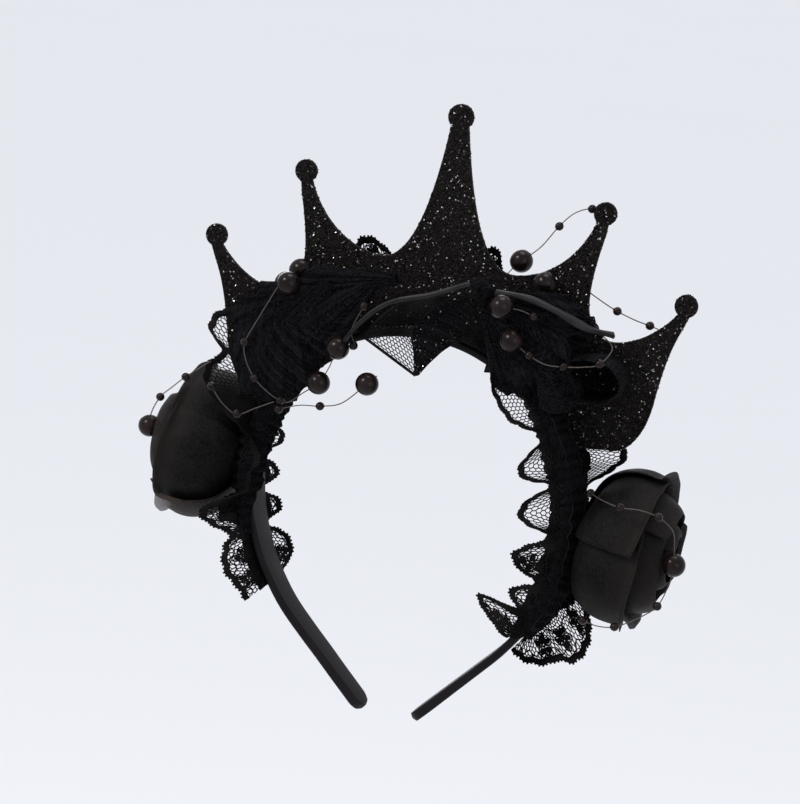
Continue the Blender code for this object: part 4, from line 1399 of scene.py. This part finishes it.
def build_tail():
    shape = Shape()
    points, faces = net_between("tail_net", TAIL_LEFT, TAIL_FOLD, net_pitch, net_thread, 17.0, 27.0)
    shape.add(points, faces)
    for rows, radius in ((TAIL_LEFT, 0.45), (TAIL_FOLD, 0.5)):
        line = [band_place(*smooth(rows, 3 * i / 24)) for i in range(25)]
        shape.tube(line, radius, 6)
    low = [tail_point(TAIL_LEFT, TAIL_FOLD, i / 16, 0.0) for i in range(17)]
    shape.tube(low, 0.55, 6)
    tail = shape.piece("tail_net", [LACE])
    dress(tail, ["net_tail"])

    grid = []
    waver = ripple(47, 4, 9.0, 30.0)
    for i in range(61):
        t = i / 60
        line = []
        for j in range(13):
            s = j / 12
            spot = tail_point(TAIL_FOLD, TAIL_RIGHT, s, t)
            spot.y += 0.55 * math.sin(math.pi * 3 * s + 1.2 * waver(t)) - 0.35
            line.append(tuple(spot))
        grid.append(line)
    strip, flat, area = cloth("tail_strip", grid, TULLE_DENSE, 0.4)
    dress(strip)
    draw = np.random.RandomState(5)
    spots = []
    for _ in range(520):
        spot = tail_point(TAIL_FOLD, TAIL_RIGHT, draw.uniform(0.04, 0.96), draw.uniform(0.02, 0.98))
        spot.y -= 0.75
        spots.append(tuple(spot))
    grain, grain_faces = grain_points(np.array(spots), np.tile((0.0, -1.0, 0.0), (520, 1)), draw, 0.34)
    bits = Shape()
    bits.add(grain, grain_faces.tolist())
    sparkle = bits.piece("tail_glitter", [GLITTER_GRAIN_AND_PAINTED_GLINTS], soft=False)
    dress(sparkle)


# Ribbon loops: share of the side, distance out of the inner face, depth.
RIBBON_LEFT = [
    (0.075, 27.0, -23.4), (0.030, 19.5, -25.5), (-0.030, 14.5, -25.5), (-0.075, 8.5, -25.0),
    (-0.112, 3.0, -24.0),
]
RIBBON_RIGHT = [
    (0.107, 27.3, -20.8), (0.145, 31.5, -20.4), (0.180, 34.0, -20.0), (0.216, 36.5, -18.0),
    (0.240, 40.5, -13.0),
]
# Fold of the ribbon seen end on: across and through, both in millimetres.
RIBBON_FOLD = [
    (-1.45, -0.30), (0.20, -0.42), (1.40, -0.30), (1.55, -0.12), (1.40, 0.02), (0.0, 0.10), (-1.30, 0.02),
    (-1.50, 0.14), (-1.35, 0.30), (0.0, 0.36), (1.35, 0.34), (1.52, 0.46), (1.30, 0.58), (-1.2, 0.56),
]
knot_place = (0.090, 26.5, -22.0)
knot_radius = 4.2


def build_ribbon(name, node, table, seed):
    waver = ripple(seed, 4, 5.0, 22.0)
    steps = 60
    grid = []
    for i in range(steps + 1):
        f = i / steps
        here = smooth(table, (len(table) - 1) * f)
        spot = band_place(*here)
        ahead = band_place(*smooth(table, min((len(table) - 1) * f + 0.02, len(table) - 1)))
        behind = band_place(*smooth(table, max((len(table) - 1) * f - 0.02, 0)))
        along = (ahead - behind).normalized()
        wide = (Vector((0, 1, 0)) + Vector((0, 0, 0.25))).normalized()
        wide = (wide - along * wide.dot(along)).normalized()
        through = along.cross(wide)
        twist = 0.35 * waver(f)
        side = wide * math.cos(twist) + through * math.sin(twist)
        up = through * math.cos(twist) - wide * math.sin(twist)
        grid.append([tuple(spot + side * a + up * b * 1.1) for a, b in RIBBON_FOLD])
    made, flat, area = cloth(name, grid, RIBBON, 0.16)
    dress(made, [node])
    flat = (max(flat[0], 0.0101), flat[1])


def build_knot():
    """The puffed knot that gathers the loops, with pleats running to its middle."""
    centre = band_place(*knot_place)
    grid = []
    for i in range(73):
        a = 2 * math.pi * i / 72
        line = []
        for j in range(25):
            b = math.pi * (0.02 + 0.96 * j / 24)
            lobes = 0.86 + 0.14 * math.cos(3 * a) + 0.035 * math.sin(19 * a + 3 * b)
            r = knot_radius * lobes
            line.append((centre.x + r * math.sin(b) * math.cos(a), centre.y + 0.72 * r * math.cos(b),
                         centre.z + r * math.sin(b) * math.sin(a)))
        grid.append(line)
    made, flat, area = cloth("knot_bow", grid, TULLE, tulle_thick)
    dress(made, ["knot"])


# Roses
# Columns: distance from the stem and height above the base, shares of radius and height.
CUP_OUTER = [
    (0.12, 0.100), (0.46, 0.120), (0.80, 0.220), (0.96, 0.400), (1.00, 0.580), (0.96, 0.740),
    (0.99, 0.840),
]
CUP_MIDDLE = [
    (0.10, 0.210), (0.34, 0.230), (0.62, 0.310), (0.78, 0.480), (0.80, 0.700), (0.70, 0.900),
    (0.60, 0.985),
]
CUP_INNER = [
    (0.08, 0.335), (0.22, 0.355), (0.42, 0.400), (0.52, 0.560), (0.50, 0.780), (0.38, 0.960),
    (0.30, 1.000),
]
# Columns: start of the petal in degrees, spread in degrees, height share, outward curl share.
PETALS_OUTER = [(15, 96, 1.00, 0.10), (87, 96, 0.95, 0.09), (159, 96, 0.99, 0.11),
                (231, 96, 0.94, 0.10), (303, 96, 0.97, 0.10)]
PETALS_MIDDLE = [(40, 142, 1.00, 0.0), (160, 142, 0.98, 0.0), (280, 142, 0.99, 0.0)]
PETALS_INNER = [(95, 215, 1.00, 0.0), (275, 215, 0.97, 0.0)]
# Columns: share of the side, depth, turn in degrees, lift off the lace, lean to the tips in degrees.
ROSES = {
    "rose_left": (-0.478, 4.5, 0.0, 0.5, -9.0),
    "rose_right": (0.496, 1.5, 24.0, 0.8, 5.0),
}
rose_seat = lace_seat + lace_thick / 2 + piece_gap


def rose_frame(name):
    share, y, turn, lift, lean = ROSES[name]
    base = band_place(share, rose_seat + lift, y)
    axis = (band_place(share, rose_seat + lift + 1.0, y) - base).normalized()
    along = Vector((0, -1, 0)).cross(axis) * (1 if share < 0 else -1)
    axis = axis * math.cos(math.radians(lean)) + along * math.sin(math.radians(lean))
    side = Vector((0, -1, 0))
    up = axis.cross(side).normalized()
    return base, axis, side, up, turn


def rose_point(stem, turn, radius, height):
    base, axis, side, up, start = stem
    a = math.radians(turn + start)
    return base + axis * height + (side * math.cos(a) + up * math.sin(a)) * radius


def petal_grid(stem, cup, row, columns, rows, seed):
    """A petal with a rolled, slightly wavy rim and soft creases."""
    start, spread, tall, curl = row
    wave = ripple(seed, 4, 4.0, 13.0)
    crease = ripple(seed + 1, 5, 8.0, 32.0)
    grid = []
    for i in range(columns + 1):
        f = i / columns
        rim = tall * (1 - petal_rim_dip * abs(2 * f - 1) ** 3) + 0.012 * wave(f * 3)
        line = []
        for j in range(rows + 1):
            v = j / rows
            t = (len(cup) - 1) * v * rim
            here = smooth(cup, min(t, len(cup) - 1.001))
            there = smooth(cup, min(t + 0.02, len(cup) - 1))
            along = Vector(((there[0] - here[0]) * rose_radius, (there[1] - here[1]) * rose_height))
            along.normalize()
            step = overlap_step * f
            curled = curl * rose_radius * max(0.0, (v - 0.75) / 0.25) ** 2 * (0.3 + 0.7 * f)
            step += 0.30 * crease(f + 0.5 * v) * v + 0.35 * wave(f * 2) * v * v
            radius = here[0] * rose_radius + along.y * step + curled
            height = here[1] * rose_height - along.x * step
            line.append(rose_point(stem, start + spread * f, max(radius, 1.2), height))
        grid.append(line)
    return grid


# Outer petals given the see-through organza whose lighter taupe colour is painted backlight.
SHEER_PAINTED_BACKLIGHT_PETALS = ("rose_left_outer_2", "rose_left_outer_4")


def build_rose(name):
    stem = rose_frame(name)
    seed = 100 if name == "rose_left" else 200
    groups = (("outer", CUP_OUTER, PETALS_OUTER), ("middle", CUP_MIDDLE, PETALS_MIDDLE),
              ("inner", CUP_INNER, PETALS_INNER))
    for group, cup, petals in groups:
        for k, row in enumerate(petals):
            node = f"{name}_{group}_{k + 1}"
            grid = petal_grid(stem, cup, row, 40, 26, seed)
            look = ORGANZA_SHEER_PAINTED_BACKLIGHT if node in SHEER_PAINTED_BACKLIGHT_PETALS else ORGANZA
            made, flat, area = cloth(node.replace("rose_", "petal_"), grid, look, petal_thick)
            dress(made, [node])
            seed += 3
    grid = []
    crease = ripple(seed, 5, 6.0, 30.0)
    for i in range(121):
        f = i / 120
        line = []
        for j in range(17):
            v = j / 16
            height = 0.40 + 0.52 * v
            swell = 0.86 + 0.62 * v - 0.68 * v * v
            radius = rose_radius * (0.045 + 0.25 * f) * swell + 0.25 * crease(f * 2 + v) * v
            line.append(rose_point(stem, 360 * bud_turns * f, radius,
                                   height * rose_height + 0.5 * v * crease(f * 3)))
        grid.append(line)
    made, flat, area = cloth(f"bud_{name[5:]}", grid, ORGANZA, petal_thick * 0.8)
    dress(made, [f"{name}_bud"])


# Bead strings, each row: share of the side, distance out and depth as shares of bead_reach,
# and the bead threaded there (0 none, 1 small, 2 big).
BEAD_STRINGS = {
    "beads_behind_crown": [
        (0.092, 0.66, 0.060, 0), (0.095, 0.75, 0.110, 0), (0.101, 0.853, 0.150, 2),
        (0.115, 1.055, 0.100, 0), (0.122, 1.295, 0.080, 1), (0.129, 1.465, 0.075, 0),
        (0.140, 1.573, 0.080, 1), (0.151, 1.578, 0.075, 0), (0.157, 1.493, 0.070, 0),
        (0.163, 1.223, 0.080, 1), (0.168, 1.085, 0.080, 0), (0.181, 0.998, 0.080, 1),
        (0.200, 1.008, 0.075, 0), (0.221, 1.050, 0.080, 1), (0.240, 1.123, 0.075, 0),
        (0.253, 1.195, 0.080, 1), (0.262, 1.250, 0.065, 0),
    ],
    "beads_crown_right": [
        (0.144, 0.870, -0.135, 2), (0.150, 0.760, -0.150, 0),
    ],
    "beads_upper_right": [
        (0.163, 0.700, -0.540, 1), (0.146, 0.680, -0.560, 0), (0.125, 0.637, -0.640, 2),
    ],
    "beads_middle_right": [
        (0.158, 0.415, -0.530, 2), (0.190, 0.423, -0.550, 1), (0.215, 0.473, -0.560, 0),
        (0.233, 0.580, -0.560, 1), (0.249, 0.738, -0.600, 0), (0.256, 0.860, -0.610, 1),
        (0.250, 0.960, -0.400, 0), (0.229, 0.880, -0.150, 1), (0.205, 0.840, -0.110, 0),
    ],
    "beads_upper_left": [
        (-0.168, 0.745, -0.190, 2), (-0.196, 0.705, -0.134, 2), (-0.190, 0.790, -0.300, 0),
        (-0.174, 0.680, -0.465, 2),
    ],
    "beads_left": [
        (-0.184, 0.690, -0.560, 0), (-0.224, 0.553, -0.600, 0), (-0.263, 0.463, -0.600, 1),
        (-0.281, 0.348, -0.600, 0), (-0.292, 0.190, -0.600, 1), (-0.297, 0.030, -0.560, 0),
        (-0.297, -0.088, -0.500, 1), (-0.288, -0.153, -0.475, 0), (-0.251, -0.180, -0.475, 0),
        (-0.202, -0.190, -0.535, 2), (-0.165, -0.105, -0.510, 0), (-0.133, 0.018, -0.550, 2),
        (-0.103, 0.005, -0.540, 1), (-0.101, 0.138, -0.530, 0), (-0.074, 0.325, -0.520, 1),
    ],
    "beads_hanging_left": [
        (-0.3135, -0.125, -0.500, 1), (-0.277, -0.238, -0.460, 0), (-0.240, -0.358, -0.450, 1),
        (-0.183, -0.435, -0.450, 0), (-0.098, -0.343, -0.475, 2), (-0.070, -0.285, -0.475, 0),
    ],
    "beads_lower_left": [
        (-0.306, -0.058, -0.515, 0), (-0.335, 0.030, -0.570, 0), (-0.359, 0.132, -0.640, 1),
        (-0.352, 0.283, -0.700, 0), (-0.339, 0.423, -0.720, 1),
    ],
}
# The strings that lie over the roses, with the distance out as a share of rose_height and the
# depth as a share of rose_radius.
ROSE_STRINGS = {
    "beads_rose_left": [
        (-0.324, 0.750, -0.820, 0), (-0.360, 0.894, -0.849, 1), (-0.383, 1.004, -0.751, 0),
        (-0.406, 1.141, -0.555, 1), (-0.430, 1.225, -0.424, 0), (-0.449, 1.258, -0.278, 2),
    ],
    "beads_rose_right": [
        (0.412, 0.400, -0.686, 1), (0.418, 0.575, -0.931, 0), (0.425, 0.775, -1.045, 1),
        (0.428, 0.988, -1.061, 0), (0.437, 1.163, -0.980, 1), (0.454, 1.288, -0.816, 0),
        (0.477, 1.290, -0.640, 0), (0.498, 1.290, -0.520, 2), (0.519, 1.290, -0.575, 0),
        (0.546, 1.250, -0.751, 1), (0.566, 1.100, -0.914, 0), (0.585, 0.925, -0.980, 1),
        (0.597, 0.750, -0.914, 0), (0.604, 0.575, -0.784, 1),
    ],
}


def build_string(name, rows, out_reach, depth_reach):
    spots = [band_place(share, out * out_reach, depth * depth_reach) for share, out, depth, _ in rows]
    table = [tuple(p) for p in spots]
    line = []
    each = 8
    for i in range((len(table) - 1) * each + 1):
        line.append(smooth(table, i / each))
    shape = Shape()
    shape.tube(line, thread_radius, 6, look=1)
    for k, (spot, row) in enumerate(zip(spots, rows)):
        if not row[3]:
            continue
        ahead = Vector(line[min(k * each + 1, len(line) - 1)])
        behind = Vector(line[max(k * each - 1, 0)])
        along = (ahead - behind).normalized()
        big = row[3] == 2
        radius = big_bead_radius if big else small_bead_radius
        shape.ball(spot, radius, 32 if big else 20, 20 if big else 12, axis=along)
        for facing in (-1, 1):
            hole = []
            wide = 0.62 if big else 0.36
            low = math.sqrt(radius * radius - wide * wide)
            side = along.orthogonal().normalized()
            cross = along.cross(side)
            for i in range(12):
                a = 2 * math.pi * i / 12
                hole.append(spot + along * facing * low + (side * math.cos(a) + cross * math.sin(a)) * wide)
            shape.loop(hole, 0.13 if big else 0.09, 5)
    made = shape.piece(name.replace("beads", "string"), [BEAD, THREAD])
    dress(made, [name])


build_camera()
build_studio()
build_headband()
build_crown()
build_lace("lace_front_left", LACE_FRONT_LEFT, -1)
build_lace("lace_front_right", LACE_FRONT_RIGHT, 1)
build_lace("lace_back_left", LACE_BACK_LEFT, -1)
build_lace("lace_back_right", LACE_BACK_RIGHT, 1)
build_frill("lace_frill_left", FRILL_LEFT, 301)
build_frill("lace_frill_right", FRILL_RIGHT, 311)
build_fan("tulle_fan_left", FAN_LEFT, fan_left_place, fan_left_depth, 7, 61)
build_fan("tulle_fan_right", FAN_RIGHT, fan_right_place, fan_right_depth, 6, 81)
for side, loops in (("left", LOOPS_LEFT), ("right", LOOPS_RIGHT)):
    for count, row in enumerate(loops, 1):
        build_loop(f"bow_loop_{side}_{count}", row, 400 + 10 * count + len(side))
build_roll()
build_knot()
build_tail()
build_ribbon("ribbon_loop_left", "ribbon_left", RIBBON_LEFT, 41)
build_ribbon("ribbon_loop_right", "ribbon_right", RIBBON_RIGHT, 43)
for rose in ROSES:
    build_rose(rose)
for string, route in BEAD_STRINGS.items():
    build_string(string, route, bead_reach, bead_reach)
for string, route in ROSE_STRINGS.items():
    build_string(string, route, rose_height, rose_radius)
